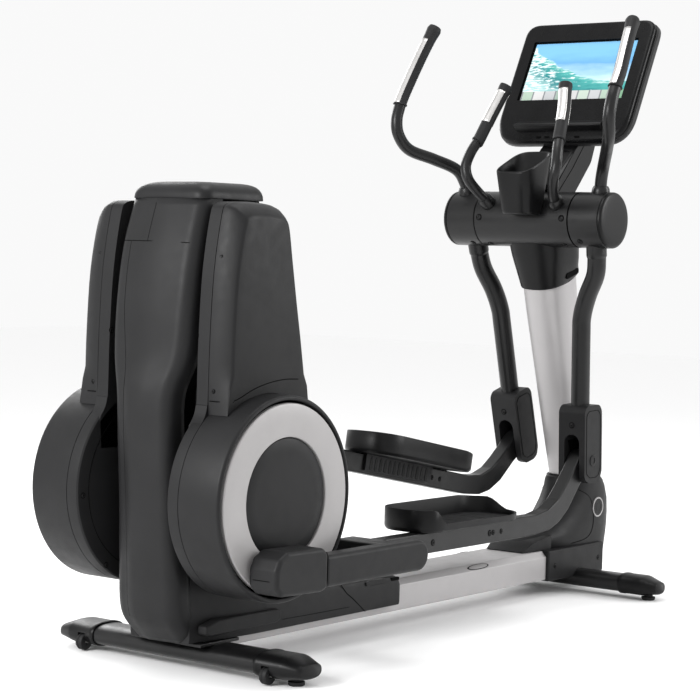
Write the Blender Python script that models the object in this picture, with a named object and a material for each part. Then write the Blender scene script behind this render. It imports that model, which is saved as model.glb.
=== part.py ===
"""Rear-drive elliptical trainer. Metres, +Z up, +X to the console, +Y to the user's left.

The origin is on the floor, on the mid-plane, half way between the two stabilisers.
"""

import math

import bmesh
import bpy
from mathutils import Matrix, Vector

GAP = 0.0005  # between neighbouring pieces

# Stabilisers and beam
STABILISER_X = 0.83  # each side of the origin
REAR_TUBE = (0.055, 0.026)  # half depth, half height
FRONT_TUBE = (0.040, 0.026)
TUBE_Z = 0.041
REAR_TUBE_Y = 0.255
FRONT_TUBE_Y = 0.250
REAR_TIP_Y = 0.385
FRONT_TIP_Y = 0.372
WHEEL_R = 0.0205
WHEEL_POS = (-0.878, 0.294)
FOOT_R = 0.020
FOOT_OUT = 0.022
BEAM_HALF_W = 0.090
BEAM_Z = (0.050, 0.133)
BEAM_X = (STABILISER_X * -1 + 0.056, STABILISER_X - 0.041)

# Crank, swing arm and pedal arm: one four-bar linkage a side
CRANK = (-0.825, 0.425)  # x, z of the crank axis
CRANK_R = 0.180
CRANK_ANGLE = math.radians(-116.0)  # right pin, from +X towards +Z
HUB = (0.670, 1.107)  # x, z of the swing axis
SWING_LENGTH = 0.700
ARM_LENGTH = 1.612
ARM_Y = 0.162
LINK_Y = (0.335, 0.385)

# Rear tower and its side covers
HOUSING_R = 0.242
HOUSING_Y = (0.140, 0.295)
DISC_R = 0.224
DISC_Y = 0.297
UPRIGHT_Y = (0.078, 0.084)
FLYWHEEL = (-0.820, 0.800)
PULLEY_R = 0.115
SMALL_PULLEY_R = 0.025

# Hub cylinder
HUB_R = 0.081
HUB_Y = 0.161
DRUM_Y = (0.1615, 0.2600)

# Mast and console
MAST_LEAN = 0.293  # x lost for each unit of height
CONSOLE = (0.8905, 0.0, 1.5615)  # middle of the screen
CONSOLE_TILT = math.atan2(0.089, 0.177)  # screen back from the vertical

COLOURS = {
    "charcoal": (0.080, 0.080, 0.084),
    "black": (0.018, 0.018, 0.019),
    "silver": (0.600, 0.590, 0.570),
    "steel": (0.450, 0.450, 0.460),
    "iron": (0.120, 0.120, 0.125),
    "rubber": (0.025, 0.025, 0.026),
    "glass": (0.030, 0.034, 0.040),
    "grey": (0.420, 0.420, 0.420),
}


def clear_scene():
    for obj in list(bpy.data.objects):
        bpy.data.objects.remove(obj, do_unlink=True)


def collection(name):
    made = bpy.data.collections.new(name)
    bpy.context.scene.collection.children.link(made)
    return made


clear_scene()
PARTS = collection("elliptical_trainer")
CUTTERS = collection("cutters")
CUTTERS.hide_render = True
COUNTER = [0]


def material(name, colour):
    made = bpy.data.materials.new(name)
    made.use_nodes = True
    shader = made.node_tree.nodes["Principled BSDF"]
    shader.inputs["Base Color"].default_value = (*COLOURS[colour], 1.0)
    shader.inputs["Roughness"].default_value = 0.35 if colour in ("steel", "glass") else 0.55
    shader.inputs["Metallic"].default_value = 1.0 if colour in ("steel", "iron") else 0.0
    return made


def finish(bm, name, colour, place=(0, 0, 0), parent=None, smooth=True):
    """Makes the object of a closed mesh, with its faces outwards. No colour makes a cutter."""
    bmesh.ops.remove_doubles(bm, verts=bm.verts, dist=1e-6)
    bmesh.ops.recalc_face_normals(bm, faces=bm.faces)
    mesh = bpy.data.meshes.new(name)
    bm.to_mesh(mesh)
    bm.free()
    if smooth:
        mesh.shade_smooth()
        mesh.set_sharp_from_angle(angle=math.radians(35))
    obj = bpy.data.objects.new(name, mesh)
    obj.location = place
    if parent:
        obj.parent = parent
    if colour:
        PARTS.objects.link(obj)
        mesh.materials.append(material(name, colour))
    else:
        CUTTERS.objects.link(obj)
        obj.hide_render = True
        obj.display_type = "WIRE"
    return obj


def helper_name():
    COUNTER[0] += 1
    return "helper_%03d" % COUNTER[0]


def empty(name, place, parent=None, turn=0.0):
    obj = bpy.data.objects.new(name, None)
    PARTS.objects.link(obj)
    obj.location = place
    obj.rotation_euler = (0.0, turn, 0.0)
    if parent:
        obj.parent = parent
    return obj


def rings(loops, closed_ends=True):
    """A skin over equal loops of points, with its first and last loops filled."""
    bm = bmesh.new()
    made = [[bm.verts.new(p) for p in loop] for loop in loops]
    count = len(loops[0])
    for low, high in zip(made, made[1:]):
        for i in range(count):
            j = (i + 1) % count
            bm.faces.new((low[i], low[j], high[j], high[i]))
    if closed_ends:
        bm.faces.new(made[0])
        bm.faces.new(made[-1])
    return bm


def prism(outline, y0, y1):
    """An outline of (x, z) points pulled out along Y."""
    return rings([[(x, y, z) for x, z in outline] for y in (y0, y1)])


def chamfered(outline, y0, y1, edge):
    """A prism whose outline shrinks towards the middle by edge at its two ends."""
    cx = sum(x for x, _ in outline) / len(outline)
    cz = sum(z for _, z in outline) / len(outline)
    half_x = max(abs(x - cx) for x, _ in outline)
    half_z = max(abs(z - cz) for _, z in outline)
    small = [(cx + (x - cx) * (1 - edge / half_x), cz + (z - cz) * (1 - edge / half_z)) for x, z in outline]
    steps = ((y0, small), (y0 + edge, outline), (y1 - edge, outline), (y1, small))
    return rings([[(x, y, z) for x, z in loop] for y, loop in steps])


def frame_prism(outer, inner, y0, y1):
    """A prism with a hole through it: outer and inner have the same number of points."""
    bm = bmesh.new()
    loops = [[bm.verts.new((x, y, z)) for x, z in line] for y in (y0, y1) for line in (outer, inner)]
    near_out, near_in, far_out, far_in = loops
    for i in range(len(outer)):
        j = (i + 1) % len(outer)
        bm.faces.new((near_out[i], near_out[j], far_out[j], far_out[i]))
        bm.faces.new((near_in[i], near_in[j], far_in[j], far_in[i]))
        bm.faces.new((near_out[i], near_out[j], near_in[j], near_in[i]))
        bm.faces.new((far_out[i], far_out[j], far_in[j], far_in[i]))
    return bm


def box(x0, x1, y0, y1, z0, z1):
    return prism([(x0, z0), (x1, z0), (x1, z1), (x0, z1)], y0, y1)


def lathe(profile, steps=28):
    """Turns (radius, y) points about the Y axis. A radius of 0 closes an end."""
    bm = bmesh.new()
    closed = profile[0][0] > 0 or profile[-1][0] > 0
    columns = []
    for radius, y in profile:
        if radius == 0:
            columns.append([bm.verts.new((0, y, 0))] * steps)
            continue
        angles = [2 * math.pi * i / steps for i in range(steps)]
        columns.append([bm.verts.new((radius * math.cos(a), y, radius * math.sin(a))) for a in angles])
    pairs = list(zip(columns, columns[1:]))
    if closed:
        pairs.append((columns[-1], columns[0]))
    for low, high in pairs:
        for i in range(steps):
            j = (i + 1) % steps
            corners = [low[i], low[j], high[j], high[i]]
            corners = [c for k, c in enumerate(corners) if c not in corners[:k]]
            if len(corners) > 2:
                bm.faces.new(corners)
    return bm


def sweep(path, sizes, steps=12):
    """A tube of oval section along a path. Each size is (half depth in the XZ plane, half width in Y)."""
    points = [Vector(p) for p in path]
    loops = []
    side = Vector((0, 1, 0))
    for i, point in enumerate(points):
        ahead = points[min(i + 1, len(points) - 1)] - points[max(i - 1, 0)]
        ahead.normalize()
        across = (side - ahead * side.dot(ahead)).normalized()
        deep = ahead.cross(across)
        a, b = sizes[i] if isinstance(sizes, list) else sizes
        turns = [2 * math.pi * k / steps for k in range(steps)]
        loops.append([point + deep * a * math.cos(t) + across * b * math.sin(t) for t in turns])
    return rings(loops)


def smooth_path(points, parts=4):
    """A Catmull-Rom curve through the points."""
    p = [Vector(v) for v in points]
    p = [2 * p[0] - p[1]] + p + [2 * p[-1] - p[-2]]
    made = []
    for a, b, c, d in zip(p, p[1:], p[2:], p[3:]):
        for k in range(parts):
            t = k / parts
            made.append(
                0.5 * (2 * b + (c - a) * t + (2 * a - 5 * b + 4 * c - d) * t**2 + (3 * b - a - 3 * c + d) * t**3)
            )
    return made + [p[-2]]


def carried_on(path, rest, gap):
    """A path that starts gap beyond the end of another one, in the same direction, and goes on through rest."""
    end = Vector(path[-1])
    ahead = (end - Vector(path[-2])).normalized()
    return [end + ahead * gap, end + ahead * (gap + 0.012)] + [Vector(p) for p in rest]


def arc(cx, cz, radius, start, end, count):
    angles = [math.radians(start + (end - start) * i / (count - 1)) for i in range(count)]
    return [(cx + radius * math.cos(a), cz + radius * math.sin(a)) for a in angles]


def oval(half_x, half_z, cz, count=20, power=2.6):
    """A rounded box section, as (x, z) points about x = 0."""
    made = []
    for i in range(count):
        a = 2 * math.pi * i / count
        c, s = math.cos(a), math.sin(a)
        x = math.copysign(abs(c) ** (2 / power), c) * half_x
        made.append((x, cz + math.copysign(abs(s) ** (2 / power), s) * half_z))
    return made


def moved(outline, dx, dz=0.0):
    return [(x + dx, z + dz) for x, z in outline]


def combine(obj, bm, operation, place=(0, 0, 0), parent=None):
    """Adds an exact Boolean with the given mesh, which may be an object already."""
    other = bm if isinstance(bm, bpy.types.Object) else finish(bm, helper_name(), None, place, parent)
    step = obj.modifiers.new(operation.lower(), "BOOLEAN")
    step.operation = operation
    step.solver = "EXACT"
    step.object = other
    return other


def cut(obj, bm, place=(0, 0, 0), parent=None):
    return combine(obj, bm, "DIFFERENCE", place, parent)


def join(obj, bm, place=(0, 0, 0), parent=None):
    return combine(obj, bm, "UNION", place, parent)


def side_of(name, s):
    return name + ("_left" if s > 0 else "_right")


def span(s, a, b):
    """Two distances from the mid-plane, as y values in rising order."""
    return (a, b) if s > 0 else (-b, -a)


def mirrored(profile, s):
    return [(r, y * s) for r, y in profile]


# --- Floor frame -------------------------------------------------------------------------


def stabiliser(name, x, tube, half_y, tip_y, with_wheels):
    section = oval(*tube, TUBE_Z)
    finish(prism(moved(section, x), -half_y, half_y), name + "_stabiliser", "charcoal")
    for s in (1, -1):
        big = moved(oval(tube[0] + 0.004, tube[1] + 0.004, TUBE_Z), x)
        end = moved(oval(tube[0] * 0.72, tube[1] * 0.62, TUBE_Z - 0.004), x)
        steps = ((half_y + GAP, big), (tip_y - 0.045, big), (tip_y, end))
        bm = rings([[(px, y * s, pz) for px, pz in loop] for y, loop in steps])
        cap = finish(bm, side_of(name + "_end_cap", s), "black")
        foot = arc(x, (half_y + tip_y) / 2 + FOOT_OUT, FOOT_R, 0, 360, 17)[:-1]
        join(cap, rings([[(px, py * s, z) for px, py in foot] for z in (0.0, 0.03)]))
        if with_wheels:
            wx, wy = WHEEL_POS
            low, high = span(s, wy - 0.0105, wy + 0.0105)
            cut(cap, box(wx - 0.03, wx + WHEEL_R + 0.004, low, high, 0.0, 0.045))
            rim = [(0, -0.010), (0.006, -0.010), (0.006, -0.0085), (0.018, -0.0085), (WHEEL_R, -0.006)]
            rim += [(r, -y) for r, y in reversed(rim)]
            finish(lathe(rim, 20), side_of("transport_wheel", s), "rubber", (wx, wy * s, WHEEL_R + 0.0015))


stabiliser("rear", -STABILISER_X, REAR_TUBE, REAR_TUBE_Y, REAR_TIP_Y, True)
stabiliser("front", STABILISER_X, FRONT_TUBE, FRONT_TUBE_Y, FRONT_TIP_Y, False)


def beam_section(grow):
    w, (z0, z1), c = BEAM_HALF_W + grow, BEAM_Z, 0.016
    z0, z1 = z0 - grow, z1 + grow
    return [(-w, z0), (w, z0), (w, z1 - c), (w - c, z1), (-w + c, z1), (-w, z1 - c)]


def along_x(section, x0, x1):
    return rings([[(x, y, z) for y, z in section] for x in (x0, x1)])


BEAM = finish(along_x(beam_section(0.0), *BEAM_X), "base_beam", "silver", smooth=False)
cut(BEAM, along_x(beam_section(-0.004), BEAM_X[0] - 0.01, BEAM_X[1] + 0.01))

REAR_COVER = [
    (-0.745, 0.072), (-0.125, 0.072), (-0.120, 0.142), (-0.150, 0.152), (-0.420, 0.158),
    (-0.560, 0.172), (-0.640, 0.210), (-0.690, 0.270), (-0.700, 0.300), (-0.745, 0.300),
]
COVER = finish(prism(REAR_COVER, -0.118, 0.118), "rear_base_cover", "charcoal", smooth=False)
cut(COVER, along_x(beam_section(0.001), -0.80, -0.10))
cut(COVER, box(-0.80, -0.655, -0.112, 0.112, 0.12, 0.40))
COVER_WING = [(-0.915, 0.085), (-0.895, 0.072), (-0.700, 0.072), (-0.700, 0.270), (-0.720, 0.300), (-0.915, 0.300)]
for s in (1, -1):
    join(COVER, prism(COVER_WING, *span(s, 0.098, 0.1175)))

BOOT = [  # height, rear, front, half width
    (0.045, 0.800, 0.990, 0.084), (0.060, 0.750, 1.020, 0.087), (0.110, 0.700, 1.045, 0.088),
    (0.140, 0.640, 1.054, 0.088), (0.160, 0.610, 1.060, 0.088), (0.190, 0.700, 1.066, 0.088),
    (0.220, 0.768, 1.067, 0.088), (0.262, 0.820, 1.066, 0.086), (0.300, 0.848, 1.052, 0.082),
    (0.325, 0.853, 1.030, 0.079), (0.3305, 0.858, 1.018, 0.0765),
]


def fullness(value, power):
    return math.copysign(abs(value) ** power, value)


def boot_loop(z, rear, front, across):
    """One level of the boot round the foot of the mast: long behind, blunt in front."""
    made = []
    for k in range(24):
        t = 2 * math.pi * k / 24
        reach = front - 0.93 if math.cos(t) > 0 else 0.93 - rear
        made.append((0.93 + reach * fullness(math.cos(t), 0.86), across * fullness(math.sin(t), 0.80), z))
    return made


BOOT_COVER = finish(rings([boot_loop(*level) for level in BOOT]), "mast_boot", "charcoal", smooth=False)
join(BOOT_COVER, prism([(0.560, 0.1345), (0.605, 0.158), (0.70, 0.175), (0.70, 0.1345)], -0.07, 0.07))
join(BOOT_COVER, chamfered([(0.648, 0.045), (0.962, 0.045), (0.962, 0.135), (0.648, 0.135)], -0.1, 0.1, 0.008))
cut(BOOT_COVER, along_x(beam_section(0.001), 0.30, BEAM_X[1] + 0.005))
cut(BOOT_COVER, prism(moved(oval(0.047, 0.033, TUBE_Z), STABILISER_X), -0.2, 0.2))


def mast_loop(z, grow, across, deep):
    x = 0.766 - MAST_LEAN * (z - 0.9)
    turns = [2 * math.pi * k / 20 for k in range(20)]
    return [(x + (deep + grow) * math.cos(t), (across + grow) * math.sin(t), z) for t in turns]


def slanted(loop, lift):
    """The loop laid on the plane where the mast meets the neck housing."""
    return [(x, y, 0.8995 + (x - 0.690) * 0.38 + lift) for x, y, _ in loop]


def mast_skin(grow, z0, lift):
    return rings([mast_loop(z0, grow, 0.066, 0.066), slanted(mast_loop(0.900, grow, 0.072, 0.080), lift)])


MAST = finish(mast_skin(0.0, 0.160, 0.0), "mast", "silver")
cut(MAST, mast_skin(-0.004, 0.150, 0.010))
cut(BOOT_COVER, mast_skin(0.001, 0.1595, 0.0005))



def neck_loop(z, cx, deep, across):
    turns = [2 * math.pi * k / 28 for k in range(28)]
    return [(cx + deep * fullness(math.cos(t), 0.66), across * fullness(math.sin(t), 0.66), z) for t in turns]


NECK = [slanted(neck_loop(0.90, 0.766, 0.080, 0.070), 0.0008), slanted(neck_loop(0.90, 0.766, 0.084, 0.074), 0.007)]
NECK += [neck_loop(1.000, 0.738, 0.096, 0.086), neck_loop(1.040, 0.728, 0.100, 0.090), neck_loop(1.062, 0.724, 0.098, 0.088)]
finish(rings(NECK), "neck_housing", "black")
NECK_CUT = bpy.data.objects["neck_housing"]
cut(NECK_CUT, lathe([(0, -0.1), (HUB_R + GAP, -0.1), (HUB_R + GAP, 0.1), (0, 0.1)], 48), (HUB[0], 0, HUB[1]))

# --- Hub cylinder ------------------------------------------------------------------------

TUBE = [(HUB_R, -HUB_Y), (HUB_R, HUB_Y), (HUB_R - 0.006, HUB_Y), (HUB_R - 0.006, -HUB_Y)]
finish(lathe(TUBE, 32), "hub_cylinder", "charcoal", (HUB[0], 0, HUB[1]))
AXLE = [(0, -0.232), (0.0175, -0.232), (0.0175, -0.150), (0.0745, -0.150), (0.0745, -0.140), (0.0175, -0.140)]
AXLE += [(r, -y) for r, y in reversed(AXLE)]
finish(lathe(AXLE, 24), "swing_axle", "steel", (HUB[0], 0, HUB[1]))

# --- Tower and drive ---------------------------------------------------------------------

TOWER_LEVELS = [  # height, rear face, half width
    (0.072, -0.925, 0.085), (0.140, -0.978, 0.093), (0.260, -0.991, 0.090), (0.400, -1.000, 0.086),
    (0.560, -1.011, 0.085), (0.660, -1.013, 0.088), (0.750, -0.997, 0.113), (0.870, -0.987, 0.119),
    (1.000, -0.967, 0.120), (1.115, -0.932, 0.118),
]


def tower_loop(z, face, w, depth, way):
    """One level of a U-shaped cover: its face is at x = face and its sides run depth towards way."""
    wall, c = 0.004, 0.034
    half = [(depth, w), (c, w), (0.3 * c, w - 0.3 * c), (0, w - c)]
    outer = half + [(x, -y) for x, y in reversed(half)]
    half = [(depth, w - wall), (c, w - wall), (0.3 * c + wall, w - wall - 0.3 * c), (wall, w - c)]
    inner = half + [(x, -y) for x, y in reversed(half)]
    return [(face + way * x, y, z) for x, y in outer + inner[::-1]]


REAR_LOOPS = [tower_loop(z, x, w, 0.062, 1) for z, x, w in TOWER_LEVELS]
finish(rings(REAR_LOOPS), "tower_rear_cover", "charcoal")
FRONT_LEVELS = [(0.305, -0.640, 0.086), (0.640, -0.650, 0.086), (0.740, -0.668, 0.100), (1.115, -0.706, 0.100)]
FRONT_LOOPS = [tower_loop(z, x, w, 0.050, -1) for z, x, w in FRONT_LEVELS]
finish(rings(FRONT_LOOPS), "tower_front_cover", "charcoal")


def cap_loop(z, inset):
    x0, x1, w, c = -0.934 + inset, -0.706 - 0.4 * inset, 0.118 - inset, 0.030
    return [
        (x0 + c, w, z), (x0, w - c, z), (x0, -w + c, z), (x0 + c, -w, z),
        (x1 - c, -w, z), (x1, -w + c, z), (x1, w - c, z), (x1 - c, w, z),
    ]


finish(rings([cap_loop(1.1155, 0.0), cap_loop(1.132, 0.003), cap_loop(1.146, 0.014), cap_loop(1.156, 0.046)]), "tower_cap", "charcoal",
       smooth=False)

UPRIGHT = [
    (-0.905, 0.130), (-0.858, 0.105), (-0.858, 0.0685), (-0.7745, 0.0685), (-0.7745, 0.1345),
    (-0.735, 0.1345), (-0.735, 0.90), (-0.77, 1.05), (-0.88, 1.05), (-0.905, 0.95),
]
for s in (1, -1):
    plate = finish(prism(UPRIGHT, *span(s, *UPRIGHT_Y)), side_of("upright", s), "iron", smooth=False)
    boss = mirrored([(0, 0.060), (0.042, 0.060), (0.042, 0.079), (0, 0.079)], s)
    join(plate, lathe(boss, 20), (CRANK[0], 0, CRANK[1]))
    bore = mirrored([(0, 0.050), (0.0157, 0.050), (0.0157, 0.090), (0, 0.090)], s)
    cut(plate, lathe(bore, 20), (CRANK[0], 0, CRANK[1]))

SHAFT = [(0, -0.262), (0.015, -0.262), (0.015, 0.262), (0, 0.262)]
CRANK_AXIS = empty("crank_axis", (CRANK[0], 0, CRANK[1]))
finish(lathe(SHAFT, 20), "crank_shaft", "steel", parent=CRANK_AXIS)
PULLEY = [
    (0.0154, -0.015), (0.030, -0.015), (0.030, -0.006), (0.095, -0.006), (0.095, -0.013), (PULLEY_R, -0.013),
]
PULLEY += [(r, -y) for r, y in reversed(PULLEY)]
finish(lathe(PULLEY, 32), "drive_pulley", "iron", parent=CRANK_AXIS)
DISC = [
    (0, 0.2625), (0.0154, 0.2625), (0.0154, 0.245), (0.045, 0.245), (0.052, 0.280), (DISC_R, 0.284),
    (DISC_R, 0.294), (DISC_R - 0.004, DISC_Y), (0.146, DISC_Y), (0.142, 0.292), (0, 0.292),
]
for s in (1, -1):
    finish(lathe(mirrored(DISC, s), 40), side_of("crank_disc", s), "silver", parent=CRANK_AXIS)

WHEEL = [
    (0, -0.050), (0.008, -0.050), (0.008, -0.014), (SMALL_PULLEY_R, -0.014), (SMALL_PULLEY_R, 0.014),
    (0.012, 0.014), (0.012, 0.018), (0.085, 0.020), (0.085, 0.048), (0.060, 0.050), (0, 0.050),
]
finish(lathe(WHEEL, 28), "flywheel", "iron", (FLYWHEEL[0], 0, FLYWHEEL[1]))
GENERATOR = [(0.0084, -0.047), (0.050, -0.047), (0.060, -0.040), (0.060, -0.020), (0.052, -0.017), (0.0084, -0.017)]
finish(lathe(GENERATOR, 24), "generator", "iron", (FLYWHEEL[0], 0, FLYWHEEL[1]))


def belt_loop(grow):
    dz = FLYWHEEL[1] - CRANK[1]
    dx = FLYWHEEL[0] - CRANK[0]
    lean = math.degrees(math.atan2(dz, dx))
    open_by = math.degrees(math.acos((PULLEY_R - SMALL_PULLEY_R) / math.hypot(dx, dz)))
    low = arc(*CRANK, PULLEY_R + grow, lean + open_by, lean + 360 - open_by, 25)
    return low + arc(*FLYWHEEL, SMALL_PULLEY_R + grow, lean - open_by, lean + open_by, 9)


finish(frame_prism(belt_loop(0.0036), belt_loop(GAP), -0.011, 0.011), "drive_belt", "rubber")

# --- Side shells -------------------------------------------------------------------------

SHELL_TOP = [
    (-0.672, 0.640), (-0.672, 0.681), (-0.692, 0.789), (-0.711, 0.884), (-0.730, 0.990), (-0.744, 1.070),
    (-0.762, 1.097), (-0.800, 1.107), (-0.880, 1.110), (-0.921, 1.104), (-0.938, 1.077), (-0.960, 0.950),
    (-0.969, 0.800), (-0.971, 0.640),
]


def around(outline, inset):
    """The outline drawn in by inset towards its middle."""
    cx = (min(x for x, _ in outline) + max(x for x, _ in outline)) / 2
    cz = (min(z for _, z in outline) + max(z for _, z in outline)) / 2
    hx = max(x for x, _ in outline) - cx
    hz = max(z for _, z in outline) - cz
    return [(cx + (x - cx) * (hx - inset) / hx, cz + (z - cz) * (hz - inset) / hz) for x, z in outline]


def drum(r, y0, y1, s):
    return lathe(mirrored([(0, y0), (r, y0), (r, y1), (0, y1)], s), 40)


for s in (1, -1):
    at_crank = (CRANK[0], 0, CRANK[1])
    shell = finish(drum(HOUSING_R, *HOUSING_Y, s), side_of("side_shell", s), "charcoal", at_crank)
    upper = [(x, z) for x, z in SHELL_TOP[1:-1]] + [(-0.971, 0.560), (-0.672, 0.560)]
    join(shell, prism(upper, *span(s, 0.140, 0.187)))
    cut(shell, drum(HOUSING_R - 0.012, 0.144, 0.31, s), at_crank)
    pocket = [(-0.685, 0.690), (-0.760, 1.090), (-0.918, 1.096), (-0.962, 0.690)]
    cut(shell, prism(pocket, *span(s, 0.144, 0.20)))
    cut(shell, drum(0.030, 0.13, 0.16, s), at_crank)

    foot = arc(*CRANK, HOUSING_R + 0.001, 128, 51, 12)
    base = SHELL_TOP[1:-1] + foot
    small = []
    for x, z in base:
        t = max(0.0, (z - 0.66) / 0.45)
        small.append((x + 0.016 * (1 if x < -0.82 else -1) * min(1.0, 4 * t), z - 0.034 * t**3))
    steps = ((0.1875, base), (0.193, base), (0.230, small), (0.235, around(small, 0.006)))
    cover = rings([[(x, y * s, z) for x, z in loop] for y, loop in steps])
    cover = finish(cover, side_of("side_cover", s), "charcoal")
    hollow = [(-0.700, 0.720), (-0.765, 1.062), (-0.905, 1.066), (-0.945, 0.720)]
    cut(cover, prism(hollow, *span(s, 0.180, 0.226)))

# --- Swing arms --------------------------------------------------------------------------


def pin_place(s):
    turn = CRANK_ANGLE + (math.pi if s > 0 else 0.0)
    return Vector((CRANK[0] + CRANK_R * math.cos(turn), CRANK[1] + CRANK_R * math.sin(turn)))


def pivot_place(s):
    """Where the pedal arm, held by its crank pin, meets the circle of the swing arm's lower end."""
    pin, hub = pin_place(s), Vector(HUB)
    between = hub - pin
    d = between.length
    a = (ARM_LENGTH**2 - SWING_LENGTH**2 + d**2) / (2 * d)
    h = math.sqrt(ARM_LENGTH**2 - a**2)
    along = between / d
    return pin + along * a + Vector((along.y, -along.x)) * h


def slope(s):
    reach = pivot_place(s) - pin_place(s)
    return math.atan2(reach.y, reach.x)


def swing_turn(s):
    reach = pivot_place(s) - Vector(HUB)
    return math.atan2(reach.x, -reach.y)


DRUM = [
    (0.0185, DRUM_Y[0]), (HUB_R - 0.002, DRUM_Y[0]), (HUB_R, DRUM_Y[0] + 0.002), (HUB_R, DRUM_Y[1]),
    (0.0185, DRUM_Y[1]),
]
DRUM_CAP = [(0, 0.2605), (HUB_R, 0.2605), (HUB_R, 0.2665), (0.078, 0.2710), (0.070, 0.2732), (0, 0.274)]
LEG_PATH = [
    (0.000, 0.212, -0.060), (0.003, 0.212, -0.110), (0.006, 0.206, -0.160), (0.006, 0.180, -0.220),
    (0.004, 0.164, -0.280), (0.003, ARM_Y, -0.340), (0.000, ARM_Y, -0.560),
]
HANDLE_PATH = [
    (0.000, 0.224, 0.060), (-0.004, 0.228, 0.110), (-0.018, 0.244, 0.155), (-0.070, 0.284, 0.198),
    (-0.128, 0.325, 0.240), (-0.152, 0.339, 0.290), (-0.146, 0.343, 0.335), (-0.124, 0.341, 0.373),
]
GRIP_PATH = [(-0.085, 0.335, 0.421), (-0.019, 0.317, 0.500), (0.047, 0.299, 0.572)]
HOUSING = [
    (-0.042, -0.560), (-0.036, -0.546), (-0.024, -0.540), (0.032, -0.540), (0.046, -0.556), (0.050, -0.600),
    (0.050, -0.735), (0.040, -0.758), (0.020, -0.766), (-0.020, -0.764), (-0.044, -0.750),
]
PEDAL_BAR = [
    (-1.170, -0.195), (-0.272, -0.197), (-0.192, -0.190), (-0.139, -0.171), (-0.087, -0.135), (-0.030, -0.072),
    (0.018, -0.028), (0.033, 0.000), (0.023, 0.023), (0.000, 0.032), (-0.026, 0.020), (-0.066, -0.026),
    (-0.105, -0.068), (-0.144, -0.104), (-0.196, -0.130), (-0.260, -0.1395), (-1.170, -0.1395),
]


def flat(path, s):
    return [(x, y * s, z) for x, y, z in path]


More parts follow.
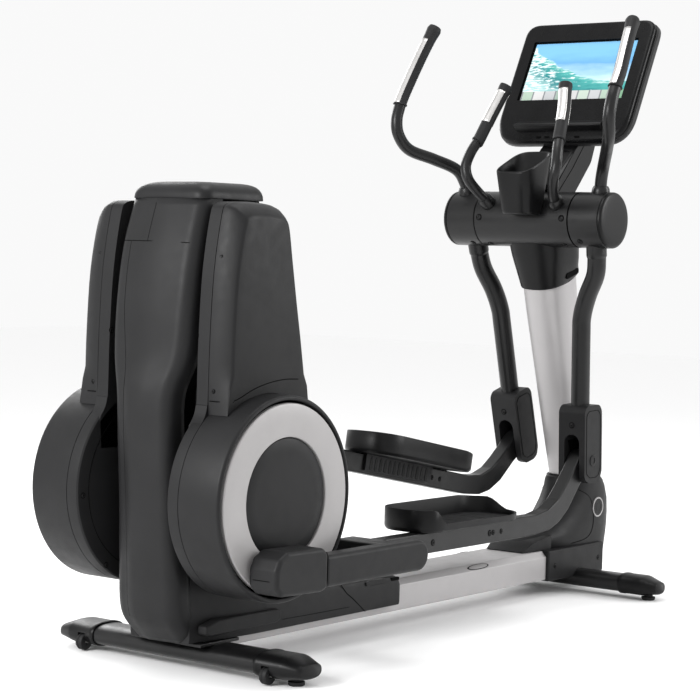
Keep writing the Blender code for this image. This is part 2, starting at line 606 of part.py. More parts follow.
for s in (1, -1):
    axis = empty(side_of("swing_axis", s), (HUB[0], 0, HUB[1]), turn=-swing_turn(s))
    finish(lathe(mirrored(DRUM, s), 32), side_of("swing_drum", s), "charcoal", parent=axis)
    finish(lathe(mirrored(DRUM_CAP, s), 32), side_of("drum_cap", s), "black", parent=axis)

    leg = finish(sweep(smooth_path(flat(LEG_PATH, s), 3), (0.030, 0.026), 12), side_of("swing_leg", s), "charcoal",
                 parent=axis)
    cut(leg, drum(HUB_R + GAP, 0.10, 0.28, s), parent=axis)
    join(leg, chamfered(HOUSING, *span(s, ARM_Y - 0.044, ARM_Y + 0.044), 0.008), parent=axis)
    slot = [(-0.080, -0.626), (0.037, -0.640), (0.037, -0.800), (-0.080, -0.800)]
    cut(leg, prism(slot, *span(s, ARM_Y - 0.025, ARM_Y + 0.025)), parent=axis)
    pin = mirrored([(0, ARM_Y - 0.030), (0.0115, ARM_Y - 0.030), (0.0115, ARM_Y + 0.030), (0, ARM_Y + 0.030)], s)
    join(leg, lathe(pin, 14), (0, 0, -SWING_LENGTH), axis)

    path = smooth_path(flat(HANDLE_PATH, s), 3)
    tube = finish(sweep(path, (0.0175, 0.0175), 10), side_of("handle_tube", s), "charcoal", parent=axis)
    collar = sweep(flat([(0, 0.224, 0.060), (-0.002, 0.227, 0.100)], s), (0.027, 0.026), 12)
    join(tube, collar, parent=axis)
    cut(tube, drum(HUB_R + GAP, 0.10, 0.28, s), parent=axis)
    sizes = [(r, r) for r in (0.0215, 0.0215, 0.0190, 0.0190, 0.0215)]
    grip = carried_on(path, flat(GRIP_PATH, s), GAP)
    finish(sweep(grip, sizes, 12), side_of("handle_grip", s), "rubber", parent=axis)

    # --- Pedal arm, hung from the foot of the swing arm
    arm = empty(side_of("pedal_axis", s), (0, 0, -SWING_LENGTH), axis, swing_turn(s) + slope(-1) - slope(s))
    bar = finish(prism(PEDAL_BAR, *span(s, ARM_Y - 0.021, ARM_Y + 0.021)), side_of("pedal_arm", s), "charcoal",
                 parent=arm, smooth=False)
    cut(bar, lathe(mirrored([(0, 0.13), (0.0125, 0.13), (0.0125, 0.20), (0, 0.20)], s), 14), parent=arm)
    join(bar, box(-1.168, -1.100, *span(s, 0.170, 0.345), -0.178, -0.122), parent=arm)
    link = [(-1.4825, -0.184), *arc(-1.109, -0.146, 0.038, -90, 90, 7), (-1.4825, -0.108)]
    join(bar, chamfered(link, *span(s, *LINK_Y), 0.008), parent=arm)

    low, high = span(s, 0.305, 0.390)
    outline = [
        (-1.671, -0.165), (-1.650, -0.186), (-1.503, -0.190), (-1.483, -0.184), (-1.483, -0.100),
        (-1.500, -0.088), (-1.630, -0.086), (-1.658, -0.100), (-1.671, -0.125),
    ]
    crank_box = finish(chamfered(outline, low, high, 0.010), side_of("crank_box", s), "charcoal", parent=arm,
                       smooth=False)
    reach = (pin_place(-1) - pivot_place(-1)).to_3d().xzy
    hole = mirrored([(0, 0.300), (0.0205, 0.300), (0.0205, 0.3605), (0, 0.3605)], s)
    cut(crank_box, lathe(hole, 20), reach, arm)
    stub = mirrored([(0, 0.2985), (0.020, 0.2985), (0.020, 0.360), (0, 0.360)], s)
    finish(lathe(stub, 20), side_of("crank_pin", s), "steel", reach, arm)

    y0, y1 = span(s, 0.036, 0.214)
    tray = [(-0.836, y0 + 0.04), (-0.836, y1 - 0.04), (-0.796, y1), (-0.410, y1), (-0.364, y1 - 0.046),
            (-0.364, y0 + 0.046), (-0.410, y0), (-0.796, y0)]
    inner = [(-0.830, y0 + 0.042), (-0.830, y1 - 0.042), (-0.794, y1 - 0.006), (-0.412, y1 - 0.006),
             (-0.370, y1 - 0.048), (-0.370, y0 + 0.048), (-0.412, y0 + 0.006), (-0.794, y0 + 0.006)]
    pedal = rings([[(x, y, z) for x, y in tray] for z in (-0.139, -0.079)])
    pedal = finish(pedal, side_of("pedal", s), "black", parent=arm, smooth=False)
    cut(pedal, rings([[(x, y, z) for x, y in inner] for z in (-0.131, -0.05)]), parent=arm)
    wedge = [(0.075, -0.070), (0.100, -0.086), (0.170, -0.120), (0.216, -0.124), (0.230, -0.060), (0.07, -0.060)]
    cut(pedal, along_x([(y * s, z) for y, z in wedge], -0.785, -0.35), parent=arm)
    teeth = [(-0.790, -0.185), (-0.480, -0.185), (-0.470, -0.172), (-0.470, -0.1395), (-0.790, -0.1395)]
    finish(prism(teeth, *span(s, 0.132, 0.1405)), side_of("pedal_bracket", s), "iron", parent=arm, smooth=False)

# --- Console, fixed handles and holders --------------------------------------------------

SCREEN_FRAME = empty("console_axis", CONSOLE)
SCREEN_FRAME.rotation_euler = (
    Matrix(((0, math.sin(CONSOLE_TILT), -math.cos(CONSOLE_TILT)), (-1, 0, 0),
            (0, math.cos(CONSOLE_TILT), math.sin(CONSOLE_TILT)))).to_euler()
)


def console_loop(top, bottom, side, z, corner):
    """A rounded outline, x to the user's right and y up the screen."""
    made = []
    for cx, cy, r, start in ((side, top, corner, 0), (-side, top, corner, 90),
                             (-side, bottom, corner * 1.5, 180), (side, bottom, corner * 1.5, 270)):
        sx, sy = math.copysign(1, cx), (1 if start < 180 else -1)
        for k in range(5):
            a = math.radians(start + 22.5 * k)
            made.append((cx - sx * r + r * math.cos(a), cy - sy * r + r * math.sin(a), z))
    return made


shell = rings([console_loop(0.166, -0.244, 0.226, -0.0135, 0.045), console_loop(0.168, -0.246, 0.232, -0.030, 0.045),
               console_loop(0.120, -0.190, 0.190, -0.068, 0.045)])
finish(shell, "console_back", "grey", parent=SCREEN_FRAME)
bezel = rings([console_loop(0.168, -0.246, 0.226, -0.013, 0.045), console_loop(0.168, -0.246, 0.226, 0.000, 0.045),
               console_loop(0.163, -0.241, 0.221, 0.006, 0.043)])
bezel = finish(bezel, "console_bezel", "black", parent=SCREEN_FRAME)


cut(bezel, box(-0.184, 0.184, -0.1055, 0.1055, -0.0075, 0.05), parent=SCREEN_FRAME)
finish(box(-0.1835, 0.1835, -0.105, 0.105, -0.007, 0.001), "console_screen", "glass", parent=SCREEN_FRAME,
       smooth=False)
shelf = rings([[(x, y, z) for x, y in ((-0.150, a), (0.150, a), (0.150, b), (-0.150, b))]
               for z, a, b in ((0.002, -0.212, -0.180), (0.026, -0.206, -0.198))])
join(bezel, shelf, parent=SCREEN_FRAME)

STALK = [(0.655, 1.1905), (0.755, 1.150), (0.895, 1.300), (0.902, 1.430), (0.862, 1.375), (0.800, 1.318)]
stalk = finish(chamfered(STALK, -0.062, 0.062, 0.010), "console_neck", "black", smooth=False)
cut(stalk, drum(HUB_R + GAP, -0.1, 0.1, 1), (HUB[0], 0, HUB[1]))
cut(stalk, rings([console_loop(0.30, -0.40, 0.30, z, 0.045) for z in (-0.069, 0.2)]), parent=SCREEN_FRAME)

FIXED_PATH = [
    (-0.036, 0.112, 0.025), (-0.078, 0.118, 0.050), (-0.112, 0.130, 0.078), (-0.136, 0.146, 0.112),
    (-0.138, 0.155, 0.150), (-0.124, 0.149, 0.190), (-0.104, 0.140, 0.222),
]
FIXED_GRIP = [(-0.052, 0.122, 0.315), (-0.014, 0.102, 0.392)]
for s in (1, -1):
    base = Vector((HUB[0], 0, HUB[1]))
    path = smooth_path(flat(FIXED_PATH, s), 3)
    rail = finish(sweep(path, (0.0155, 0.0155), 10), side_of("fixed_handle", s), "charcoal", base)
    join(rail, sweep(flat([(-0.050, 0.114, 0.034), (-0.088, 0.121, 0.058)], s), (0.0225, 0.0225), 12), base)
    cut(rail, drum(HUB_R + GAP, 0.02, 0.20, s), base)
    sizes = [(r, r) for r in (0.0195, 0.0195, 0.0180, 0.0190)]
    grip = carried_on(path, flat(FIXED_GRIP, s), GAP)
    finish(sweep(grip, sizes, 12), side_of("fixed_grip", s), "rubber", base)



def cup_loop(cx, deep, across, z=None):
    """A rounded square. Without a height it lies on the slanted plane of the rim."""
    made = []
    for k in range(24):
        t = 2 * math.pi * k / 24
        x, y = cx + deep * fullness(math.cos(t), 0.5), -0.025 + across * fullness(math.sin(t), 0.5)
        made.append((x, y, 1.235 + (x - 0.485) * 0.45 if z is None else z))
    return made


CUP = [cup_loop(0.561, 0.046, 0.046, 1.118), cup_loop(0.561, 0.049, 0.049, 1.126), cup_loop(0.565, 0.075, 0.062)]
CUP += [cup_loop(0.5645, 0.0695, 0.0565), cup_loop(0.5495, 0.0325, 0.042, 1.126)]
cup = finish(rings(CUP), "cup_holder", "black")
cut(cup, lathe([(0, -0.12), (HUB_R + GAP, -0.12), (HUB_R + GAP, 0.12), (0, 0.12)], 48), (HUB[0], 0, HUB[1]))
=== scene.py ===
"""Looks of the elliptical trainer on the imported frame. Metres, +X to the console, +Y left."""

import math

import bmesh
import bpy
from mathutils import Matrix, Vector


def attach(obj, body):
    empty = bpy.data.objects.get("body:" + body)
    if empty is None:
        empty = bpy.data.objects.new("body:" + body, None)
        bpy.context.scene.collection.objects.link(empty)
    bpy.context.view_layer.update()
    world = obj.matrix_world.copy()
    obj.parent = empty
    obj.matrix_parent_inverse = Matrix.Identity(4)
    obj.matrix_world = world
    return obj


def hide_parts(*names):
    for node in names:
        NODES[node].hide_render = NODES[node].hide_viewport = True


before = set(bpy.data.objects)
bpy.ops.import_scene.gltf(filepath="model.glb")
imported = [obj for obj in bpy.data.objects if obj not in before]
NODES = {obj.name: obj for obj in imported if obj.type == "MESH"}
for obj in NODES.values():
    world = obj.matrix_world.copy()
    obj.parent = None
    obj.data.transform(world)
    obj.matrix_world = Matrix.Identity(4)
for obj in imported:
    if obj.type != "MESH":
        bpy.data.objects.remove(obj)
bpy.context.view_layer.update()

# Driving dimensions, as in the CAD model
HUB = Vector((0.67, 0.0, 1.107))
CRANK = Vector((-0.825, 0.0, 0.425))
CRANK_R, CRANK_ANGLE = 0.18, math.radians(-116.0)
SWING_LENGTH, ARM_LENGTH, ARM_Y = 0.7, 1.612, 0.162
HUB_R, HOUSING_R = 0.081, 0.242
CONSOLE, CONSOLE_TILT = Vector((0.8905, 0.0, 1.5615)), math.atan2(0.089, 0.177)
SIDES = ((1, "_left"), (-1, "_right"))

# --- Materials ---------------------------------------------------------------------------


def paint(name, colour, rough, metal=0.0, grain=0.0, scale=900.0, vary=0.12, coat=0.0,
          spec=0.5, streak=None):
    """Colour and gloss that drift slowly over the surface, with a fine grain in its bump."""
    made = bpy.data.materials.new(name)
    made.use_nodes = True
    tree = made.node_tree
    shader = tree.nodes["Principled BSDF"]
    shader.inputs["Metallic"].default_value = metal
    shader.inputs["Coat Weight"].default_value = coat
    shader.inputs["Coat Roughness"].default_value = 0.25
    shader.inputs["Specular IOR Level"].default_value = spec
    place = tree.nodes.new("ShaderNodeTexCoord")
    source = place.outputs["Object"]

    def noise(size, detail=3.0):
        node = tree.nodes.new("ShaderNodeTexNoise")
        node.inputs["Scale"].default_value = size
        node.inputs["Detail"].default_value = detail
        tree.links.new(source, node.inputs["Vector"])
        return node.outputs["Fac"]

    def levels(value, low, high):
        node = tree.nodes.new("ShaderNodeMapRange")
        node.inputs["From Min"].default_value = 0.3
        node.inputs["From Max"].default_value = 0.7
        node.inputs["To Min"].default_value = low
        node.inputs["To Max"].default_value = high
        tree.links.new(value, node.inputs["Value"])
        return node.outputs["Result"]

    if streak:
        stretch = tree.nodes.new("ShaderNodeMapping")
        stretch.inputs["Scale"].default_value = streak
        tree.links.new(source, stretch.inputs["Vector"])
        source = stretch.outputs["Vector"]
    ramp = tree.nodes.new("ShaderNodeValToRGB")
    ramp.color_ramp.elements[0].position = 0.32
    ramp.color_ramp.elements[1].position = 0.68
    ramp.color_ramp.elements[0].color = (*[c * (1 - vary) for c in colour], 1)
    ramp.color_ramp.elements[1].color = (*[min(1, c * (1 + vary)) for c in colour], 1)
    tree.links.new(noise(7.0 if not streak else scale * 0.4, 5.0), ramp.inputs["Fac"])
    tree.links.new(ramp.outputs["Color"], shader.inputs["Base Color"])
    tree.links.new(levels(noise(35.0), rough - 0.05, rough + 0.05), shader.inputs["Roughness"])
    if grain:
        bump = tree.nodes.new("ShaderNodeBump")
        bump.inputs["Strength"].default_value = grain
        bump.inputs["Distance"].default_value = 0.0004
        tree.links.new(noise(scale, 2.0), bump.inputs["Height"])
        tree.links.new(bump.outputs["Normal"], shader.inputs["Normal"])
    return made


COVER = paint("cover_plastic", (0.0125, 0.0125, 0.013), 0.46, grain=0.35,
              spec=0.16)
PANEL = paint("panel_plastic", (0.012, 0.012, 0.0125), 0.42, grain=0.3,
              spec=0.16)
TUBE = paint("powder_coat", (0.006, 0.006, 0.0063), 0.34, grain=0.25, scale=1500,
             coat=0.05, spec=0.28)
BLACK = paint("black_moulding", (0.0042, 0.0042, 0.0045), 0.36, grain=0.25,
              spec=0.18)
GLOSS = paint("bezel_plastic", (0.0035, 0.0035, 0.0038), 0.28, grain=0.03,
              spec=0.14)
# Near black: the dark lines of joints, and painted shade in gaps, slots, openings and recesses
SEAM_AND_SHADE = paint("seam_shadow", (0.002, 0.002, 0.002), 0.8, spec=0.05)
RUBBER = paint("grip_rubber", (0.01, 0.01, 0.0105), 0.6, grain=0.6, scale=700, spec=0.25)
TREAD = paint("tread_rubber", (0.012, 0.012, 0.0125), 0.6, grain=0.5, scale=500,
              spec=0.25)
SILVER = paint("beam_paint", (0.4, 0.388, 0.39), 0.42, metal=0.25, grain=0.1,
               scale=2500, vary=0.03)
RING = paint("ring_paint", (0.33, 0.32, 0.32), 0.44, metal=0.25, grain=0.1,
             scale=2500, vary=0.04)
STEEL = paint("brushed_steel", (0.62, 0.61, 0.6), 0.3, metal=0.9, vary=0.06,
              streak=(1, 1, 0.04), scale=900)
IRON = paint("black_iron", (0.018, 0.018, 0.019), 0.42, metal=0.6, grain=0.5,
             scale=600)
SHELL = paint("console_moulding", (0.012, 0.012, 0.0125), 0.4, grain=0.25,
              vary=0.06, spec=0.25)

# --- Mesh building -----------------------------------------------------------------------


def full_turn(count):
    """The angles of a whole turn, in equal steps."""
    return [2 * math.pi * k / count for k in range(count)]


def fullness(value, power):
    return math.copysign(abs(value) ** power, value)


def squircle(cx, deep, across, power, count=96, cy=0.0):
    """Points (x, y) round a shape that is an ellipse at power 1 and squarer below it."""
    return [
        (cx + deep * fullness(math.cos(t), power), cy + across * fullness(math.sin(t), power))
        for t in full_turn(count)
    ]


def rings(loops, ends=True):
    """A skin through loops of points with as many points each, closed by a face at both ends."""
    bm = bmesh.new()
    made = [[bm.verts.new(p) for p in loop] for loop in loops]
    count = len(loops[0])
    for low, high in zip(made, made[1:]):
        for i in range(count):
            j = (i + 1) % count
            bm.faces.new((low[i], low[j], high[j], high[i]))
    if ends:
        bm.faces.new(made[0])
        bm.faces.new(made[-1])
    return bm


def sheet(rows):
    """An open skin over rows of points."""
    bm = bmesh.new()
    made = [[bm.verts.new(p) for p in row] for row in rows]
    for low, high in zip(made, made[1:]):
        for i in range(len(low) - 1):
            bm.faces.new((low[i], low[i + 1], high[i + 1], high[i]))
    return bm


def prism(outline, y0, y1):
    return rings([[(x, y, z) for x, z in outline] for y in (y0, y1)])


def slab(outline, *heights):
    """An outline of (x, y) points drawn out from height to height."""
    return rings([[(x, y, z) for x, y in outline] for z in heights])


def box(x0, x1, y0, y1, z0, z1):
    return prism([(x0, z0), (x1, z0), (x1, z1), (x0, z1)], y0, y1)


def lathe(profile, steps=96):
    """Turns (radius, y) points about Y. A profile that doesn't end on the axis closes on itself."""
    bm = bmesh.new()
    columns = []
    for radius, y in profile:
        if radius == 0:
            columns.append([bm.verts.new((0, y, 0))] * steps)
            continue
        columns.append([
            bm.verts.new((radius * math.cos(a), y, radius * math.sin(a))) for a in full_turn(steps)
        ])
    pairs = list(zip(columns, columns[1:]))
    if profile[0][0] > 0 or profile[-1][0] > 0:
        pairs.append((columns[-1], columns[0]))
    for low, high in pairs:
        for i in range(steps):
            j = (i + 1) % steps
            corners = [low[i], low[j], high[j], high[i]]
            corners = [c for k, c in enumerate(corners) if c not in corners[:k]]
            if len(corners) > 2:
                bm.faces.new(corners)
    return bm


def frames_along(points):
    """For each point of a path: it, the way across in the XZ plane and the way across in Y."""
    side = Vector((0, 1, 0))
    for i, point in enumerate(points):
        ahead = (points[min(i + 1, len(points) - 1)] - points[max(i - 1, 0)]).normalized()
        across = (side - ahead * side.dot(ahead)).normalized()
        yield point, ahead.cross(across), across


def sweep(path, sizes, steps=28):
    points = [Vector(p) for p in path]
    loops = []
    for i, (point, deep, across) in enumerate(frames_along(points)):
        a, b = sizes[i] if isinstance(sizes, list) else sizes
        loops.append([
            point + deep * a * math.cos(t) + across * b * math.sin(t) for t in full_turn(steps)
        ])
    return rings(loops)


def smooth_path(points, parts=8):
    p = [Vector(v) for v in points]
    p = [2 * p[0] - p[1]] + p + [2 * p[-1] - p[-2]]
    made = []
    for a, b, c, d in zip(p, p[1:], p[2:], p[3:]):
        for k in range(parts):
            t = k / parts
            square, cube = 2 * a - 5 * b + 4 * c - d, 3 * b - a - 3 * c + d
            made.append(0.5 * (2 * b + (c - a) * t + square * t**2 + cube * t**3))
    return made + [p[-2]]


def arc(cx, cz, radius, start, end, count):
    turns = [math.radians(start + (end - start) * i / (count - 1)) for i in range(count)]
    return [(cx + radius * math.cos(a), cz + radius * math.sin(a)) for a in turns]


def rounded(points, radius, parts=5):
    """A closed outline with its corners rounded by one radius, or by a radius for each point."""
    made = []
    for i, corner in enumerate(points):
        here = Vector(corner)
        back = Vector(points[i - 1]) - here
        on = Vector(points[(i + 1) % len(points)]) - here
        half = back.angle(on) / 2
        r = radius[i] if isinstance(radius, (list, tuple)) else radius
        if r <= 0 or half > math.radians(87):
            made.append(here)
            continue
        reach = min(r / math.tan(half), 0.46 * back.length, 0.46 * on.length)
        first, last = here + back.normalized() * reach, here + on.normalized() * reach
        for k in range(parts + 1):
            t = k / parts
            made.append(first * (1 - t) ** 2 + here * 2 * t * (1 - t) + last * t**2)
    return [(p.x, p.y) for p in made]


def oval(half_x, half_z, cz, count=56, power=2.6):
    return squircle(0.0, half_x, half_z, 2 / power, count, cz)


def span(s, a, b):
    return (a, b) if s > 0 else (-b, -a)


def mirrored(profile, s):
    return [(r, y * s) for r, y in profile]


def flat(path, s):
    return [(x, y * s, z) for x, y, z in path]


def side_of(name, s):
    return name + ("_left" if s > 0 else "_right")


def piece(name, bm, look, body="base", place=None, replaces=(), angle=38):
    """A finished object that rides on a body. place is the matrix of its mesh's own frame."""
    bmesh.ops.remove_doubles(bm, verts=bm.verts, dist=1e-6)
    bmesh.ops.recalc_face_normals(bm, faces=bm.faces)
    mesh = bpy.data.meshes.new(name)
    bm.to_mesh(mesh)
    bm.free()
    mesh.shade_smooth()
    mesh.set_sharp_from_angle(angle=math.radians(angle))
    mesh.materials.append(look)
    obj = bpy.data.objects.new(name, mesh)
    bpy.context.scene.collection.objects.link(obj)
    if place is not None:
        obj.matrix_world = place
    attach(obj, body)
    if replaces:
        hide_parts(*replaces)
    return obj


def carve(obj, bm, operation="DIFFERENCE"):
    """An exact Boolean with a mesh drawn in the object's own frame, applied at once."""
    bmesh.ops.recalc_face_normals(bm, faces=bm.faces)
    mesh = bpy.data.meshes.new("cutter")
    bm.to_mesh(mesh)
    bm.free()
    cutter = bpy.data.objects.new("cutter", mesh)
    bpy.context.scene.collection.objects.link(cutter)
    bpy.context.view_layer.update()
    cutter.matrix_world = obj.matrix_world
    step = obj.modifiers.new("cut", "BOOLEAN")
    step.operation = operation
    step.solver = "EXACT"
    step.object = cutter
    graph = bpy.context.evaluated_depsgraph_get()
    look = obj.data.materials[0]
    made = bpy.data.meshes.new_from_object(obj.evaluated_get(graph), depsgraph=graph)
    obj.modifiers.clear()
    obj.data = made
    made.materials.clear()
    made.materials.append(look)
    for face in made.polygons:
        face.material_index = 0
    bpy.data.objects.remove(cutter)
    return obj


def soften(obj, width, segments=3, angle=32):
    """Rounds the edges, with faces that still shade flat."""
    obj.data.shade_smooth()
    for edge in obj.data.edges:
        edge.use_edge_sharp = False
    step = obj.modifiers.new("edges", "BEVEL")
    step.width = width
    step.segments = segments
    step.limit_method = "ANGLE"
    step.angle_limit = math.radians(angle)
    step.harden_normals = True
    step.use_clamp_overlap = True
    return obj


def thicken(obj, thickness):
    step = obj.modifiers.new("wall", "SOLIDIFY")
    step.thickness = thickness
    step.offset = 0.0
    return obj


def seam(name, points, body="base", place=None, width=0.0011, close=False):
    """The dark line of a joint between two covers, half sunk in the surface."""
    path = [Vector(p) for p in points]
    if close:
        path = path + path[:1]
    loops = []
    for i, point in enumerate(path):
        ahead = (path[min(i + 1, len(path) - 1)] - path[max(i - 1, 0)]).normalized()
        one = ahead.orthogonal() if i == 0 else last - ahead * last.dot(ahead)
        last = one = one.normalized()
        two = ahead.cross(one)
        turns = [math.pi * k / 3 for k in range(6)]
        loops.append([point + (one * math.cos(t) + two * math.sin(t)) * width for t in turns])
    return piece(name, rings(loops), SEAM_AND_SHADE, body, place)


def screw(name, spot, way, body="base", place=None, radius=0.0058):
    """A button screw with a round socket, its head standing out along way."""
    head = [(0, -0.001), (radius, -0.001), (radius, 0.0004), (radius * 0.8, 0.0016),
            (radius * 0.55, 0.002),
            (radius * 0.5, 0.0006), (0, 0.0005)]
    turn = Vector((0, 1, 0)).rotation_difference(Vector(way)).to_matrix().to_4x4()
    where = Matrix.Translation(Vector(spot)) @ turn
    if place is not None:
        where = place @ where
    piece(name, lathe(head, 24), BLACK, body, where)
    # Painted shade: a near-black ring round the head stands in for the shade round the seated screw
    rim = [(radius * 1.35, -0.001), (radius * 1.35, 0.0003), (radius, 0.0003), (radius, -0.001)]
    piece(name + "_shade_ring", lathe(rim, 24), SEAM_AND_SHADE, body, where)


# --- Linkage at rest ---------------------------------------------------------------------


def pin_place(s):
    turn = CRANK_ANGLE + (math.pi if s > 0 else 0.0)
    return Vector((CRANK.x + CRANK_R * math.cos(turn), CRANK.z + CRANK_R * math.sin(turn)))


def pivot_place(s):
    pin, hub = pin_place(s), Vector((HUB.x, HUB.z))
    between = hub - pin
    d = between.length
    a = (ARM_LENGTH**2 - SWING_LENGTH**2 + d**2) / (2 * d)
    h = math.sqrt(ARM_LENGTH**2 - a**2)
    along = between / d
    return pin + along * a + Vector((along.y, -along.x)) * h


def slope(s):
    reach = pivot_place(s) - pin_place(s)
    return math.atan2(reach.y, reach.x)


def swing_turn(s):
    reach = pivot_place(s) - Vector((HUB.x, HUB.z))
    return math.atan2(reach.x, -reach.y)


AT_HUB = Matrix.Translation(HUB)
AT_CRANK = Matrix.Translation(CRANK)
SWING = {s: AT_HUB @ Matrix.Rotation(-swing_turn(s), 4, "Y") for s in (1, -1)}
AT_PIVOT = {s: SWING[s] @ Matrix.Translation((0, 0, -SWING_LENGTH)) for s in (1, -1)}
ARM = {
    s: AT_PIVOT[s] @ Matrix.Rotation(swing_turn(s) + slope(-1) - slope(s), 4, "Y") for s in (1, -1)
}
SCREEN = Matrix.Translation(CONSOLE) @ Matrix((
    (0, math.sin(CONSOLE_TILT), -math.cos(CONSOLE_TILT), 0), (-1, 0, 0, 0),
    (0, math.cos(CONSOLE_TILT), math.sin(CONSOLE_TILT), 0), (0, 0, 0, 1),
))
SWING_BODY = {1: "left_swing", -1: "right_swing"}
ARM_BODY = {1: "left_arm", -1: "right_arm"}

# --- Floor frame -------------------------------------------------------------------------


def stabiliser(name, x, half_x, half_z, half_y, tip_y, with_wheels):
    z = 0.041
    section = oval(half_x, half_z, z)
    bm = rings([[(px + x, y, pz) for px, pz in section] for y in (-half_y, half_y)])
    piece(name + "_stabiliser_tube", bm, TUBE, replaces=(name + "_stabiliser",))
    for s in (1, -1):
        loops = []
        for y, grow, drop, wide, tall in (
            (half_y + 0.0008, 0.003, 0.0, 1.0, 1.0), (half_y + 0.003, 0.0042, 0.0, 1.0, 1.0),
            (half_y + 0.014, 0.0042, 0.0, 1.0, 1.0), (half_y + 0.016, 0.003, 0.0, 1.0, 1.0),
            (tip_y - 0.052, 0.0034, 0.0, 1.0, 1.0), (tip_y - 0.044, 0.0026, 0.0, 0.99, 0.98),
            (tip_y - 0.012, 0.0, 0.003, 0.82, 0.76), (tip_y - 0.003, 0.0, 0.004, 0.76, 0.68),
            (tip_y - 0.0005, 0.0, 0.004, 0.7, 0.61),
        ):
            line = oval(half_x * wide + grow, half_z * tall + grow, z - drop)
            loops.append([(px + x, y * s, pz) for px, pz in line])
        cap = piece(side_of(name + "_cap", s), rings(loops), BLACK,
                    replaces=(side_of(name + "_end_cap", s),), angle=50)
        foot = [(0, 0.0), (0.018, 0.0), (0.02, 0.002), (0.02, 0.009), (0.013, 0.011), (0.013, 0.02),
                (0, 0.02)]
        upright = Matrix.Rotation(math.radians(90), 4, "X")
        foot_y = (half_y + tip_y) / 2 + 0.022
        piece(side_of(name + "_foot", s), lathe(foot, 40), RUBBER,
              place=Matrix.Translation((x, foot_y * s, 0)) @ upright)
        if with_wheels:
            wx, wy, r = -0.878, 0.294, 0.0205
            carve(cap, box(wx - 0.04, wx + r + 0.004, *span(s, wy - 0.0115, wy + 0.0115), -0.002,
                           0.045))
            rim = [(0, -0.0075), (0.006, -0.0075), (0.0065, -0.01), (0.012, -0.0095),
                   (0.0165, -0.01),
                   (0.019, -0.0095), (r, -0.007), (r, -0.0025), (0.0195, -0.0018)]
            rim += [(q, -y) for q, y in reversed(rim)]
            at = Matrix.Translation((wx, wy * s, r + 0.0015))
            piece(side_of("caster", s), lathe(rim, 48), RUBBER, side_of("wheel", s), at,
                  (side_of("transport_wheel", s),))
            axle = [(0, -0.0125), (0.003, -0.0125), (0.003, 0.0125), (0, 0.0125)]
            piece(side_of("caster_axle", s), lathe(axle, 16), STEEL, place=at)


stabiliser("rear", -0.83, 0.055, 0.026, 0.255, 0.385, True)
stabiliser("front", 0.83, 0.04, 0.026, 0.25, 0.372, False)

# Bracket plates between the rear tube and the beam
for s in (1, -1):
    plate = prism(rounded([(-0.905, 0.064), (-0.765, 0.064), (-0.765, 0.0725), (-0.905, 0.0725)],
                          0.003),
                  *span(s, 0.03, 0.112))
    soften(piece(side_of("bracket_plate", s), plate, TUBE), 0.002)
    for x in (-0.885, -0.785):
        screw("bracket_bolt_%s_%d" % ("l" if s > 0 else "r", int(-x * 1000)),
              (x, 0.098 * s, 0.0728), (0, 0, 1))

BEAM_Z = (0.05, 0.133)


def along_x(section, x0, x1):
    return rings([[(x, y, z) for y, z in section] for x in (x0, x1)])


EDGE = 0.016
BEAM = [
    (-0.09, BEAM_Z[0]), (0.09, BEAM_Z[0]), (0.09, BEAM_Z[1] - EDGE), (0.09 - EDGE, BEAM_Z[1]),
    (-0.09 + EDGE, BEAM_Z[1]), (-0.09, BEAM_Z[1] - EDGE),
]
piece("beam", along_x(rounded(BEAM, 0.004), -0.774, 0.789), SILVER, replaces=("base_beam",),
      angle=22)
# Painted reflection: a grey oval with a dark rim on each slope of the beam stands in for the
# pedal's reflection
for s in (1, -1):
    tilt = Matrix.Translation((0.3, 0.0833 * s, 0.1256)) @ Matrix.Rotation(math.radians(-45 * s), 4,
                                                                           "X")
    oval_ring = rings([[(x * k, y * k, z) for x, y in oval(0.052, 0.0085, 0.0, 64, 2.0)]
                       for k, z in ((1.0, -0.002), (1.0, 0.0004), (0.93, 0.0007), (0.9, 0.0004))])
    piece(side_of("beam_reflection_oval", s), oval_ring, BLACK, place=tilt)
    inner = rings([[(x * k, y * k, z) for x, y in oval(0.046, 0.0068, 0.0, 64, 2.0)]
                   for k, z in ((1.0, 0.0), (0.97, 0.001), (0.9, 0.0012))])
    piece(side_of("beam_reflection_oval_face", s), inner, RING, place=tilt)

# Rear base cover: lofted along the beam
TOP = [
    (-0.925, 0.3, 0.094), (-0.8, 0.3, 0.11), (-0.745, 0.3, 0.116), (-0.702, 0.3, 0.118),
    (-0.69, 0.268, 0.118), (-0.64, 0.208, 0.118), (-0.56, 0.172, 0.118), (-0.42, 0.158, 0.118),
    (-0.27, 0.1545, 0.118), (-0.15, 0.152, 0.118), (-0.128, 0.148, 0.118), (-0.121, 0.138, 0.1175),
]
loops = []
for x, top, w in [(p.x, p.y, p.z) for p in smooth_path(TOP, 4)]:
    top = min(top, 0.3)
    half = [(w - 0.01, 0.072), (w - 0.002, 0.074), (w, 0.082), (w, top - 0.012),
            (w - 0.004, top - 0.003),
            (w - 0.012, top)]
    loops.append([(x, y, z) for y, z in half + [(-y, z) for y, z in reversed(half)]])
base_cover = piece("base_cover", rings(loops), COVER, replaces=("rear_base_cover",), angle=35)
carve(base_cover, along_x([(-0.0905, 0.06), (0.0905, 0.06), (0.0905, 0.1175), (0.0745, 0.1335),
                           (-0.0745, 0.1335),
                           (-0.0905, 0.1175)], -0.2, -0.1))
